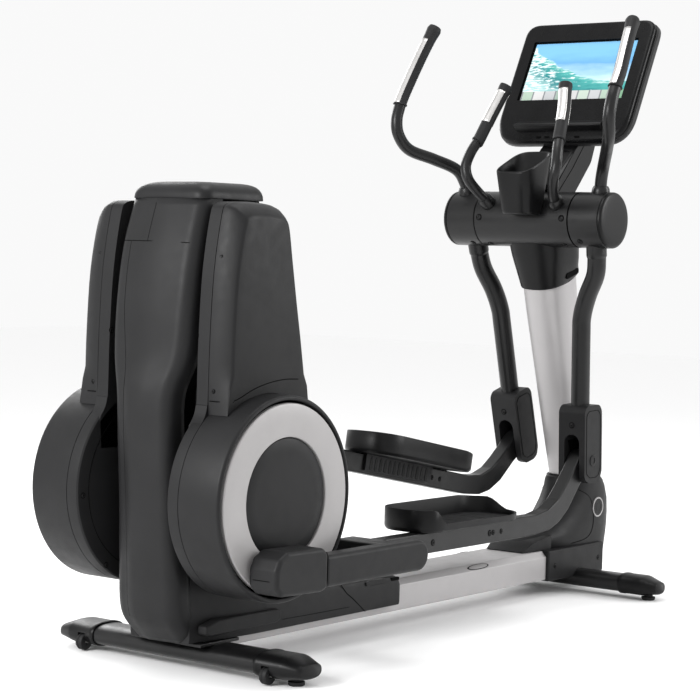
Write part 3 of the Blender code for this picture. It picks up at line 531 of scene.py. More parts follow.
for s, tag in SIDES:
    rib = rounded([(-0.905, 0.098), (-0.905, 0.116), (-0.86, 0.127), (-0.64, 0.127),
                   (-0.626, 0.121),
                   (-0.626, 0.102), (-0.64, 0.094), (-0.89, 0.09)], 0.008)
    soften(piece("base_rib" + tag, prism(rib, *span(s, 0.1, 0.1285)), COVER), 0.005, 4)
    y = 0.1182 * s
    seam("base_seam_front" + tag,
         [(-0.377, y, 0.154), (-0.352, y, 0.13), (-0.325, y, 0.113), (-0.272, y, 0.074)])
    seam("base_seam_low" + tag, [(-0.61, y, 0.096), (-0.5, y, 0.0945), (-0.34, y, 0.0935)],
         width=0.0007)
    clip = rounded([(-0.272, 0.139), (-0.172, 0.139), (-0.168, 0.145), (-0.2, 0.1515),
                    (-0.25, 0.1525),
                    (-0.274, 0.149)], 0.003)
    soften(piece("base_clip" + tag, prism(clip, *span(s, 0.11, 0.1215)), COVER), 0.002)
    # Painted shade: a near-black patch stands in for the shade inside the notch
    notch = rounded([(-0.16, 0.14), (-0.126, 0.14), (-0.126, 0.1485), (-0.16, 0.1485)], 0.002)
    piece("base_notch_shade" + tag, prism(notch, *span(s, 0.112, 0.1184)), SEAM_AND_SHADE)
    screw("base_screw" + tag, (-0.745, 0.1165 * s, 0.205), (0, s, 0))
    screw("base_screw_low" + tag, (-0.585, 0.1182 * s, 0.15), (0, s, 0), radius=0.0045)

# --- Mast, boot and neck -----------------------------------------------------------------


MAST_X, MAST_TOP, MAST_LEAN = 0.766, 0.9, 0.293  # x at the top, its height, x lost per metre up
NECK_SLOPE = 0.38


def mast_loop(z, across, deep):
    x = MAST_X - MAST_LEAN * (z - MAST_TOP)
    return [(px, py, z) for px, py in squircle(x, deep, across, 0.86, 72)]


levels = [(0.16 + 0.74 * k / 12, 0.066 + 0.006 * k / 12, 0.066 + 0.014 * k / 12) for k in range(13)]
mast_rows = [mast_loop(*level) for level in levels]


def slanted(loop, lift):
    """The loop laid on the plane where the mast meets the neck cover."""
    return [(x, y, 0.8995 + (x - 0.69) * NECK_SLOPE + lift) for x, y, _ in loop]


mast_rows[-1] = slanted(mast_rows[-1], 0.0)
piece("mast_tube", rings(mast_rows), SILVER, replaces=("mast",))
flange = rings([mast_loop(z, 0.066 + g, 0.068 + g) for z,
                g in ((0.322, 0.01), (0.334, 0.01), (0.3375, 0.006), (0.338, 0.002))])
piece("mast_collar", flange, BLACK)

BOOT = [  # height, rear, front, half width
    (0.045, 0.8, 0.99, 0.084), (0.06, 0.75, 1.02, 0.087), (0.11, 0.7, 1.045, 0.088),
    (0.14, 0.64, 1.054, 0.088), (0.16, 0.61, 1.06, 0.088), (0.19, 0.7, 1.0655, 0.088),
    (0.22, 0.768, 1.0668, 0.088), (0.262, 0.82, 1.0655, 0.086), (0.3, 0.848, 1.052, 0.082),
    (0.32, 0.853, 1.036, 0.0797), (0.328, 0.856, 1.024, 0.0775), (0.3305, 0.86, 1.014, 0.074),
]


BOOT_X = 0.93  # where the boot is widest
BOOT_POWER = 0.86


def boot_loop(z, rear, front, across):
    """One level of the boot round the foot of the mast: long behind, blunt in front."""
    made = []
    for t in full_turn(96):
        reach = front - BOOT_X if math.cos(t) > 0 else BOOT_X - rear
        made.append((BOOT_X + reach * fullness(math.cos(t), BOOT_POWER),
                     across * fullness(math.sin(t), 0.8), z))
    return made


def between(rows, parts):
    """Rows of numbers with straight-line steps put between them."""
    made = []
    for low, high in zip(rows, rows[1:]):
        made += [[a + (b - a) * k / parts for a, b in zip(low, high)] for k in range(parts)]
    return made + [rows[-1]]


def on_boot(x, z, s):
    """The point of the boot's side at this place along it."""
    level = next(row for row in between(BOOT, 8) if row[0] >= z)
    part = ((BOOT_X - x) / (BOOT_X - level[1])) ** (1 / BOOT_POWER) if x < BOOT_X else 0.0
    return (x, s * level[3] * (1 - min(1.0, part) ** 2) ** 0.4, z)


piece("boot_cover", rings([boot_loop(*level) for level in between(BOOT, 3)]), COVER,
      replaces=("mast_boot",), angle=50)
block = rounded([(0.648, 0.045), (0.962, 0.045), (0.962, 0.135), (0.648, 0.135)], 0.008)
soften(piece("boot_block", prism(block, -0.1, 0.1), COVER), 0.007, 4)
tongue = rings([[(x, -across, z), (x, -0.92 * across, z + 0.001), (x, 0.92 * across, z + 0.001),
                 (x, across, z),
                 (x, across, 0.1345), (x, -across, 0.1345)]
                for x, across,
                z in ((0.56, 0.062, 0.1352), (0.58, 0.066, 0.1455), (0.605, 0.069, 0.1575),
                                     (0.64, 0.072, 0.165), (0.7, 0.074, 0.175))])
piece("boot_tongue", tongue, COVER, angle=50)
for s, tag in SIDES:
    path = [(0.862, 0.3), (0.9, 0.272), (0.915, 0.225), (0.912, 0.18), (0.88, 0.152), (0.8, 0.142)]
    seam("boot_seam" + tag,
         [on_boot(p.x, p.y, s) for p in smooth_path([(x, z, 0) for x, z in path], 5)], width=0.0012)
    disc = Matrix.Translation((0.941, 0.088 * s,
                               0.241)) @ Matrix.Rotation(math.radians(0 if s > 0 else 180), 4, "Z")
    rim = [(0.0255, -0.002), (0.0255, 0.0008), (0.0268, 0.0016), (0.0292, 0.0016), (0.0302, 0.0006),
           (0.0302, -0.002)]
    piece("badge_rim" + tag, lathe(rim, 64), RING, place=disc)
    face = [(0, 0.001), (0.012, 0.001), (0.0125, 0.0005), (0.0145, 0.0005), (0.015, 0.001),
            (0.0255, 0.0008),
            (0.0255, -0.001), (0, -0.001)]
    piece("badge_face" + tag, lathe(face, 64), BLACK, place=disc)
    screw("boot_screw" + tag, (0.683, 0.0998 * s, 0.089), (0, s, 0))
    screw("boot_screw_front" + tag, (0.93, 0.0998 * s, 0.089), (0, s, 0))


def neck_loop(z, cx, deep, across):
    return [(x, y, z) for x, y in squircle(cx, deep, across, 0.66)]


def hub_tool():
    """The hub cylinder as a cutter, a hair wider."""
    tool = lathe([(0, -0.15), (HUB_R + 0.0002, -0.15), (HUB_R + 0.0002, 0.15), (0, 0.15)], 128)
    bmesh.ops.translate(tool, verts=tool.verts, vec=HUB)
    return tool


rows = [slanted(neck_loop(MAST_TOP, MAST_X, deep, across), lift)
        for deep, across,
        lift in ((0.078, 0.068, 0.0008), (0.082, 0.072, 0.0022), (0.084, 0.074, 0.007))]
rows += [neck_loop(*row) for row in between([(0.975, 0.7445, 0.092, 0.082),
                                             (1.0, 0.738, 0.096, 0.086),
                                             (1.04, 0.728, 0.1, 0.09),
                                             (1.062, 0.724, 0.098, 0.088)], 3)]
neck = piece("neck_cover", rings(rows), BLACK, replaces=("neck_housing",), angle=60)
carve(neck, hub_tool())
for s in (1, -1):
    # Painted shade: near-black patches on the neck cover's sides stand in for the shade inside its
    # slots
    slot_line = rounded([(0.735, 0.932), (0.8, 0.952), (0.8, 0.968), (0.735, 0.95)], 0.005)
    slot = prism(slot_line, *span(s, 0.0745, 0.079))
    piece(side_of("neck_slot_shade", s), slot, SEAM_AND_SHADE)

# --- Tower -------------------------------------------------------------------------------

TOWER_LEVELS = [
    (0.072, -0.925, 0.085), (0.14, -0.978, 0.093), (0.26, -0.991, 0.09), (0.4, -1.0, 0.086),
    (0.56, -1.011, 0.085), (0.66, -1.013, 0.088), (0.75, -0.997, 0.113), (0.87, -0.987, 0.119),
    (1.0, -0.967, 0.12), (1.115, -0.932, 0.118),
]
CREASE_Y = 0.02
CORNER, FOLD = 0.034, 0.009  # of the rear shell
tower_rows = [(p.x, p.y, p.z) for p in smooth_path(TOWER_LEVELS, 7)]


def tower_row(z, face, w, depth, way, corner=CORNER, fold=FOLD):
    """The points of a tower cover at one height: side, rounded corner, face with a shallow fold."""
    def side(s):
        made = [(face + way * depth, s * w, z),
                (face + way * (corner + (depth - corner) * 0.5), s * w, z)]
        for k in range(9):
            t = math.radians(90 * k / 8)
            made.append((face + way * corner * (1 - math.sin(t)),
                         s * (w - corner * (1 - math.cos(t))), z))
        made.append((face - way * fold * 0.55, s * (w - corner) * 0.5 + CREASE_Y * 0.5, z))
        return made
    return side(1) + [(face - way * fold, CREASE_Y, z)] + side(-1)[::-1]


rows = [tower_row(z, x, w, 0.062, 1) for z, x, w in tower_rows]
thicken(piece("rear_shell", sheet(rows), COVER, replaces=("tower_rear_cover",), angle=50), 0.003)
FRONT_LEVELS = [(0.305, -0.64, 0.086), (0.64, -0.65, 0.086), (0.74, -0.668, 0.1),
                (1.115, -0.706, 0.1)]
rows = [tower_row(p.x, p.y, p.z, 0.05, -1, 0.03, 0.0) for p in smooth_path(FRONT_LEVELS, 6)]
thicken(piece("front_shell", sheet(rows), COVER, replaces=("tower_front_cover",), angle=50), 0.003)
# Painted shade: a near-black box closes the tower behind the open edges of its covers, standing in
# for the shade in the gaps
GAP_SHADE_FRONT = -0.72
gap_shade = [(z, x, w) for z, x, w in tower_rows[::5]] + [tower_rows[-1]]
loops = [[(x + 0.05, w - 0.01, z), (x + 0.05, -w + 0.01, z), (GAP_SHADE_FRONT, -w + 0.014, z),
          (GAP_SHADE_FRONT, w - 0.014, z)] for z, x, w in gap_shade if z > 0.31]
piece("tower_gap_shade", rings(loops), SEAM_AND_SHADE)


def tower_x(z):
    """How far back the rear face is at a height."""
    for (z0, x0, _), (z1, x1, _) in zip(tower_rows, tower_rows[1:]):
        if z0 <= z <= z1:
            return x0 + (x1 - x0) * (z - z0) / max(1e-9, z1 - z0)
    return tower_rows[-1][1] if z > 1 else tower_rows[0][1]


def on_face(y, z):
    """A point on the outside of the rear shell, a little proud of it."""
    w = next((w for h, _, w in tower_rows if h >= z), 0.118)
    fold = FOLD * max(0.0, 1 - abs(y - CREASE_Y) / max(0.01, w - CORNER - CREASE_Y))
    bend = max(0.0, abs(y) - (w - CORNER)) / CORNER
    turn_in = 1 - math.sqrt(max(0.0, 1 - min(1.0, bend) ** 2))
    return (tower_x(z) - fold - 0.0015 + CORNER * turn_in, y, z)


def on_tower(points, parts=6):
    return [on_face(p.x, p.y) for p in smooth_path([(y, z, 0) for y, z in points], parts)]


seam("panel_seam_top",
     on_tower([(0.108, 1.014), (0.06, 1.014), (0.0, 1.014), (-0.064, 1.013), (-0.1, 1.012)]))
seam("panel_seam_side", on_tower([
    (-0.066, 1.012), (-0.064, 0.925), (-0.062, 0.856), (-0.047, 0.774), (-0.032, 0.716),
    (-0.031, 0.67),
    (-0.029, 0.554), (-0.025, 0.413), (-0.026, 0.272), (-0.027, 0.177), (-0.03, 0.13)]))
seam("panel_seam_other", on_tower([
    (0.078, 1.012), (0.076, 0.925), (0.072, 0.856), (0.06, 0.774), (0.049, 0.716), (0.046, 0.67),
    (0.045, 0.554), (0.043, 0.413), (0.044, 0.272), (0.045, 0.177), (0.047, 0.13)]), width=0.0007)
seam("panel_seam_neck", on_tower([(0.02, 1.104), (0.02, 1.06), (0.02, 1.016)]), width=0.0007)


def cap_loop(z, inset, corner=0.034, count=6):
    x0, x1, w = -0.9345 + inset, -0.704 - 0.4 * inset, 0.1185 - inset
    line = rounded([(x0, -w), (x1, -w), (x1, w), (x0, w)], corner, count)
    return [(x, y, z) for x, y in line]


cap_rows = [(1.1151, 0.0008), (1.1156, 0.0002), (1.117, 0.0), (1.127, 0.001), (1.135, 0.0042),
            (1.142, 0.0095),
            (1.1475, 0.0165), (1.1515, 0.026), (1.154, 0.037), (1.1555, 0.05), (1.1562, 0.066),
            (1.1565, 0.086)]
piece("tower_lid", rings([cap_loop(z, g) for z, g in cap_rows]), PANEL, replaces=("tower_cap",),
      angle=60)

# --- Side shells and covers --------------------------------------------------------------

SHELL_TOP = [
    (-0.672, 0.64), (-0.672, 0.681), (-0.692, 0.789), (-0.711, 0.884), (-0.73, 0.99),
    (-0.744, 1.07),
    (-0.762, 1.097), (-0.8, 1.107), (-0.88, 1.11), (-0.921, 1.104), (-0.938, 1.077), (-0.96, 0.95),
    (-0.969, 0.8), (-0.971, 0.64),
]
ARCH = [(-0.97, 0.645), (-0.93, 0.66), (-0.876, 0.68), (-0.822, 0.692), (-0.767, 0.698),
        (-0.718, 0.697),
        (-0.68, 0.69)]


def fine(points, parts=5):
    return [(p.x, p.y) for p in smooth_path([(x, z, 0) for x, z in points], parts)]


def shifted(outline, dz_top, dx_rear, dx_front):
    """The outline with its top lowered and its two long edges moved in."""
    made = []
    for x, z in outline:
        t = max(0.0, (z - 0.66) / 0.45)
        rear = min(1.0, max(0.0, (-0.8 - x) / 0.1))
        front = min(1.0, max(0.0, (x + 0.84) / 0.1))
        up = min(1.0, max(0.0, (z - 0.655) / 0.05))
        made.append((x + dx_rear * rear * up - dx_front * front * up, z - dz_top * t**3))
    return made


for s, tag in SIDES:
    # Round housing, open on its outer side round the crank disc
    house = [
        (0.03, 0.1402), (0.232, 0.1402), (0.2385, 0.1415), (0.2415, 0.145), (0.242, 0.15),
        (0.242, 0.1745),
        (0.2405, 0.1752), (0.2405, 0.1762), (0.242, 0.1768), (0.242, 0.2865), (0.2412, 0.2905),
        (0.2395, 0.293),
        (0.237, 0.2945), (0.2345, 0.295), (0.232, 0.2943), (0.2303, 0.2922), (0.2297, 0.289),
        (0.2297, 0.252),
        (0.226, 0.1475), (0.03, 0.1442),
    ]
    piece("drum_housing" + tag, lathe(mirrored(house, s), 160), COVER, place=AT_CRANK,
          replaces=(side_of("side_shell", s),), angle=30)
    for radius in (0.098, 0.205):
        line = [(x, 0.14 * s, z) for x, z in arc(0, 0, radius, 0, 354, 72)]
        seam("housing_ring_%d%s" % (radius * 1000, tag), line, place=AT_CRANK, width=0.0009,
             close=True)
    shadow = [(0.0, 0.1405), (0.0295, 0.1405), (0.0295, 0.146), (0.0, 0.146)]
    piece("shaft_shadow" + tag, lathe(mirrored(shadow, s), 48), SEAM_AND_SHADE, place=AT_CRANK)
    for k, (x, z) in enumerate(((-1.048, 0.412), (-0.966, 0.239), (-0.64, 0.3), (-0.64, 0.56))):
        screw("recess_screw_%d%s" % (k, tag), (x, 0.14 * s, z), (0, -s, 0), radius=0.0052)

    # Inner half of the upper shell, with a fillet down onto the round housing
    rear = [(-0.971, 0.66), (-0.973, 0.64), (-0.98, 0.617), (-0.996, 0.594)]
    upper = fine(SHELL_TOP[1:-1] + rear, 4) + [(-0.99, 0.52), (-0.64, 0.52), (-0.645, 0.6),
                                               (-0.668, 0.63)]
    shell = piece("inner_shell" + tag, prism(upper, *span(s, 0.1402, 0.1746)), COVER, angle=30)
    soften(shell, 0.0045, 4, 50)
    screw("shell_screw" + tag, (-0.964, 0.14 * s, 0.8), (0, -s, 0), radius=0.0052)

    # Raised outer cover: a strip that faces back, a rounded fold and a flat side face
    foot = arc(CRANK.x, CRANK.z, HOUSING_R + 0.0012, 126.5, 51, 26)
    base = fine(SHELL_TOP[1:-1] + [(-0.971, 0.68)], 4) + foot
    steps = (
        (0.1756, 0.001, 0.001, 0.001), (0.1766, 0.0, 0.0, 0.0), (0.19, 0.0, 0.0008, 0.0),
        (0.206, 0.006, 0.0045, 0.003), (0.22, 0.017, 0.0095, 0.008), (0.229, 0.026, 0.0135, 0.013),
        (0.2318, 0.03, 0.0155, 0.016), (0.2338, 0.0345, 0.019, 0.02),
        (0.2345, 0.038, 0.0225, 0.024),
    )
    loops = [[(x, y * s, z) for x, z in shifted(base, *move)] for y, *move in steps]
    piece("outer_cover" + tag, rings(loops), COVER, replaces=(side_of("side_cover", s),), angle=26)
    arch = [(x, 0.2346 * s, z) for x, z in fine([(-0.948, 0.655)] + ARCH[1:-1], 5)]
    seam("trim_seam" + tag, arch, width=0.0012)
    turn_in = [(-0.9712, 0.18), (-0.9712, 0.2), (-0.967, 0.214), (-0.959, 0.229), (-0.95, 0.2346)]
    seam("trim_seam_rear" + tag, [(x, y * s, 0.652) for x, y in turn_in], width=0.0012)
    for k, (x, z) in enumerate(((-0.9545, 0.982), (-0.9712, 0.675))):
        screw("cover_screw_%d%s" % (k, tag), (x + 0.001, 0.19 * s, z), (-1, 0, 0), radius=0.0045)

    # Crank disc: painted ring round a dark middle
    ring = [(0.145, 0.285), (0.145, 0.2945), (0.146, 0.2962), (0.148, 0.297), (0.2185, 0.297),
            (0.222, 0.296),
            (0.2238, 0.2935), (0.224, 0.285)]
    piece("crank_ring" + tag, lathe(mirrored(ring, s), 160), RING, "crank", AT_CRANK,
          (side_of("crank_disc", s),), angle=30)
    middle = [(0, 0.2952), (0.06, 0.295), (0.11, 0.2944), (0.139, 0.2935), (0.1418, 0.2922),
              (0.143, 0.2895),
              (0.143, 0.28), (0, 0.28)]
    piece("crank_middle" + tag, lathe(mirrored(middle, s), 160), PANEL, "crank", AT_CRANK, angle=40)
    back = [(0.0152, 0.246), (0.044, 0.246), (0.05, 0.27), (0.06, 0.28), (0.2225, 0.2842),
            (0.2225, 0.2875),
            (0.0152, 0.2875)]
    piece("crank_back" + tag, lathe(mirrored(back, s), 96), IRON, "crank", AT_CRANK)

# --- Hub cylinder, swing arms and handles ------------------------------------------------


def grip_sizes(last, radius, foot, foot_reach, top_reach, top_cut, cut_reach):
    """Radii along a grip: a bead at its foot, a flare at its top and both ends rounded off."""
    def near(distance, reach):
        return math.exp(-((distance / reach) ** 2))

    sizes = []
    for k in range(last + 1):
        t = k / last
        r = radius + foot * near(t, foot_reach) + 0.003 * near(1 - t, top_reach)
        r -= top_cut * near(1 - t, cut_reach) + 0.0015 * near(t, cut_reach)
        sizes.append((r, r))
    return sizes


def along_grip(grip, sizes):
    return [(*row, size[0]) for row, size in zip(frames_along(grip), sizes)]


def contact_plates(name, tag, part, spans, body, place):
    """Thin metal plates on a grip. spans gives each one's name and its angles round the grip."""
    for where, low, high in spans:
        angles = [math.radians(low + (high - low) * k / 14) for k in range(15)]
        strip = [[p + (deep * math.cos(t) + across * math.sin(t)) * (r + 0.0007) for t in angles]
                 for p, deep, across, r in part]
        thicken(piece("%s_%s%s" % (name, where, tag), sheet(strip), STEEL, body, place, angle=60),
                0.0011)


hub = [
    (0.074, -0.1605), (0.0795, -0.1605), (0.081, -0.159), (0.081, 0.159), (0.0795, 0.1605),
    (0.074, 0.1605),
]
piece("hub_shell", lathe(hub, 128), TUBE, place=AT_HUB, replaces=("hub_cylinder",), angle=30)
for s, tag in SIDES:
    for k, turn in enumerate((178, 246)):
        a = math.radians(turn)
        way = (math.cos(a), 0, math.sin(a))
        screw("hub_screw_%d%s" % (k, tag),
              (HUB.x + HUB_R * way[0], (0.142 - 0.014 * k) * s, HUB.z + HUB_R * way[2]), way,
              radius=0.0072)
    groove = [(0.078, 0.1592), (0.0812, 0.1592), (0.0812, 0.1612), (0.078, 0.1612)]
    piece("hub_groove" + tag, lathe(mirrored(groove, s), 96), SEAM_AND_SHADE, place=AT_HUB)
    body = SWING_BODY[s]
    drum = [(0.019, 0.1622), (0.079, 0.1622), (0.081, 0.1642), (0.081, 0.2582), (0.0798, 0.2596),
            (0.019, 0.2596)]
    piece("drum" + tag, lathe(mirrored(drum, s), 128), TUBE, body, SWING[s],
          (side_of("swing_drum", s),), angle=30)
    cap = [(0, 0.2608), (0.0795, 0.2608), (0.0808, 0.2618), (0.0808, 0.2655), (0.08, 0.268),
           (0.078, 0.2703),
           (0.0745, 0.2718), (0.069, 0.2728), (0.05, 0.2736), (0.025, 0.274), (0, 0.274)]
    piece("drum_dome" + tag, lathe(mirrored(cap, s), 128), BLACK, body, SWING[s],
          (side_of("drum_cap", s),), angle=30)
    for k, turn in enumerate((228, 300)):
        a = math.radians(turn)
        way = (math.cos(a), 0, math.sin(a))
        screw("drum_screw_%d%s" % (k, tag), (HUB_R * way[0], (0.19 + 0.02 * k) * s, HUB_R * way[2]),
              way, body, SWING[s],
              0.0068)

    # Leg: a sleeve under the drum, the bent tube, and the forked pivot housing at its foot
    leg_path = [
        (0.0, 0.212, -0.05), (0.003, 0.212, -0.11), (0.006, 0.206, -0.16), (0.006, 0.18, -0.22),
        (0.004, 0.164, -0.28), (0.003, ARM_Y, -0.34), (0.0, ARM_Y, -0.56),
    ]
    leg = smooth_path(flat(leg_path, s), 9)
    piece("leg_tube" + tag, sweep(leg, (0.03, 0.026), 44), TUBE, body, SWING[s],
          (side_of("swing_leg", s),))
    sleeve = smooth_path(flat([(0.0, 0.212, -0.068), (0.002, 0.212, -0.098),
                               (0.003, 0.212, -0.112)], s), 4)
    sizes = [(0.0325 - 0.0012 * max(0, k - 5),
              0.0285 - 0.0012 * max(0, k - 5)) for k in range(len(sleeve))]
    piece("leg_sleeve" + tag, sweep(sleeve, sizes, 44), TUBE, body, SWING[s], angle=30)
    housing = rounded([
        (-0.046, -0.552), (-0.03, -0.538), (0.036, -0.538), (0.05, -0.556), (0.051, -0.6),
        (0.051, -0.735),
        (0.04, -0.76), (0.018, -0.767), (-0.022, -0.765), (-0.046, -0.75)], 0.024, 8)
    made = piece("pivot_housing" + tag, prism(housing, *span(s, ARM_Y - 0.044, ARM_Y + 0.044)),
                 COVER, body, SWING[s])
    slot = [(-0.09, -0.6472), (0.037, -0.6472), (0.037, -0.81), (-0.09, -0.81)]
    carve(made, prism(slot, *span(s, ARM_Y - 0.0252, ARM_Y + 0.0252)))
    arch_r = 0.02515
    arch_top = rings([[(x, ARM_Y * s + arch_r * math.cos(t), -0.6473 + arch_r * math.sin(t))
                       for t in full_turn(48)] for x in (-0.09, 0.03)])
    carve(made, arch_top)
    soften(made, 0.0115, 5)
    # Painted shade: a near-black sheet on the slot's inner wall stands in for the shade inside the
    # pivot housing
    shade_sheet = rounded([(-0.03, -0.632), (0.036, -0.65), (0.036, -0.745), (0.01, -0.745)], 0.004)
    piece("pivot_shade_sheet" + tag, prism(shade_sheet, *span(s, ARM_Y - 0.0258, ARM_Y - 0.0246)), SEAM_AND_SHADE, body,
          SWING[s])
    pin = [(0, ARM_Y - 0.0262), (0.0112, ARM_Y - 0.0262), (0.0112, ARM_Y + 0.0262),
           (0, ARM_Y + 0.0262)]
    at_pivot = AT_PIVOT[s]
    piece("pivot_pin" + tag, lathe(mirrored(pin, s), 40), STEEL, body, at_pivot)
    button = [(0, 0.2045), (0.017, 0.2045), (0.017, 0.2068), (0.0155, 0.2082), (0.009, 0.2086),
              (0.0085, 0.2072),
              (0, 0.207)]
    piece("pivot_button" + tag, lathe(mirrored(button, s), 48), BLACK, body, at_pivot)
    screw("pivot_screw" + tag, (-0.0462, ARM_Y * s, -0.595), (-1, 0, 0), body, SWING[s], 0.0068)
    for edge, y in (("in", ARM_Y - 0.0443), ("out", ARM_Y + 0.0443)):
        rim = [(x * 0.8 + 0.001, (z + 0.652) * 0.86 - 0.652) for x, z in housing]
        seam("pivot_seam_" + edge + tag, [(x, y * s, z) for x, z in rim], body, SWING[s], 0.0008,
             True)

    # Handle: collar, bent tube, rubber grip with two contact plates
    handle = [
        (0.0, 0.224, 0.06), (-0.004, 0.228, 0.11), (-0.018, 0.244, 0.155), (-0.07, 0.284, 0.198),
        (-0.128, 0.325, 0.24), (-0.152, 0.339, 0.29), (-0.146, 0.343, 0.335),
        (-0.124, 0.341, 0.373),
    ]
    tube = smooth_path(flat(handle, s), 9)
    piece("handle_bar" + tag, sweep(tube, (0.0175, 0.0175), 36), TUBE, body, SWING[s],
          (side_of("handle_tube", s),))
    collar_path = smooth_path(flat([(0.0005, 0.2235, 0.052), (0, 0.2245, 0.07),
                                    (-0.002, 0.227, 0.098)], s), 4)
    sizes = [(0.027, 0.0265)] * (len(collar_path) - 3) + [(0.0268, 0.0262), (0.0255, 0.025),
                                                          (0.0215, 0.021)]
    piece("handle_collar" + tag, sweep(collar_path, sizes, 40), TUBE, body, SWING[s], angle=30)
    end = tube[-1]
    ahead = (tube[-1] - tube[-2]).normalized()
    grip = [end + ahead * 0.0008, end + ahead * 0.013] + [Vector(p) for p in flat(
        [(-0.085, 0.335, 0.421), (-0.019, 0.317, 0.5), (0.047, 0.299, 0.572)], s)]
    grip = smooth_path(grip, 10)
    last = len(grip) - 1
    sizes = grip_sizes(last, 0.019, 0.0026, 0.1, 0.07, 0.0035, 0.006)
    piece("grip" + tag, sweep(grip, sizes, 40), RUBBER, body, SWING[s],
          (side_of("handle_grip", s),), angle=50)
    part = along_grip(grip, sizes)[int(last * 0.16):int(last * 0.9)]
    contact_plates("contact", tag, part, (("front", 150, 212), ("rear", -32, 30)), body, SWING[s])

# --- Pedal arms --------------------------------------------------------------------------

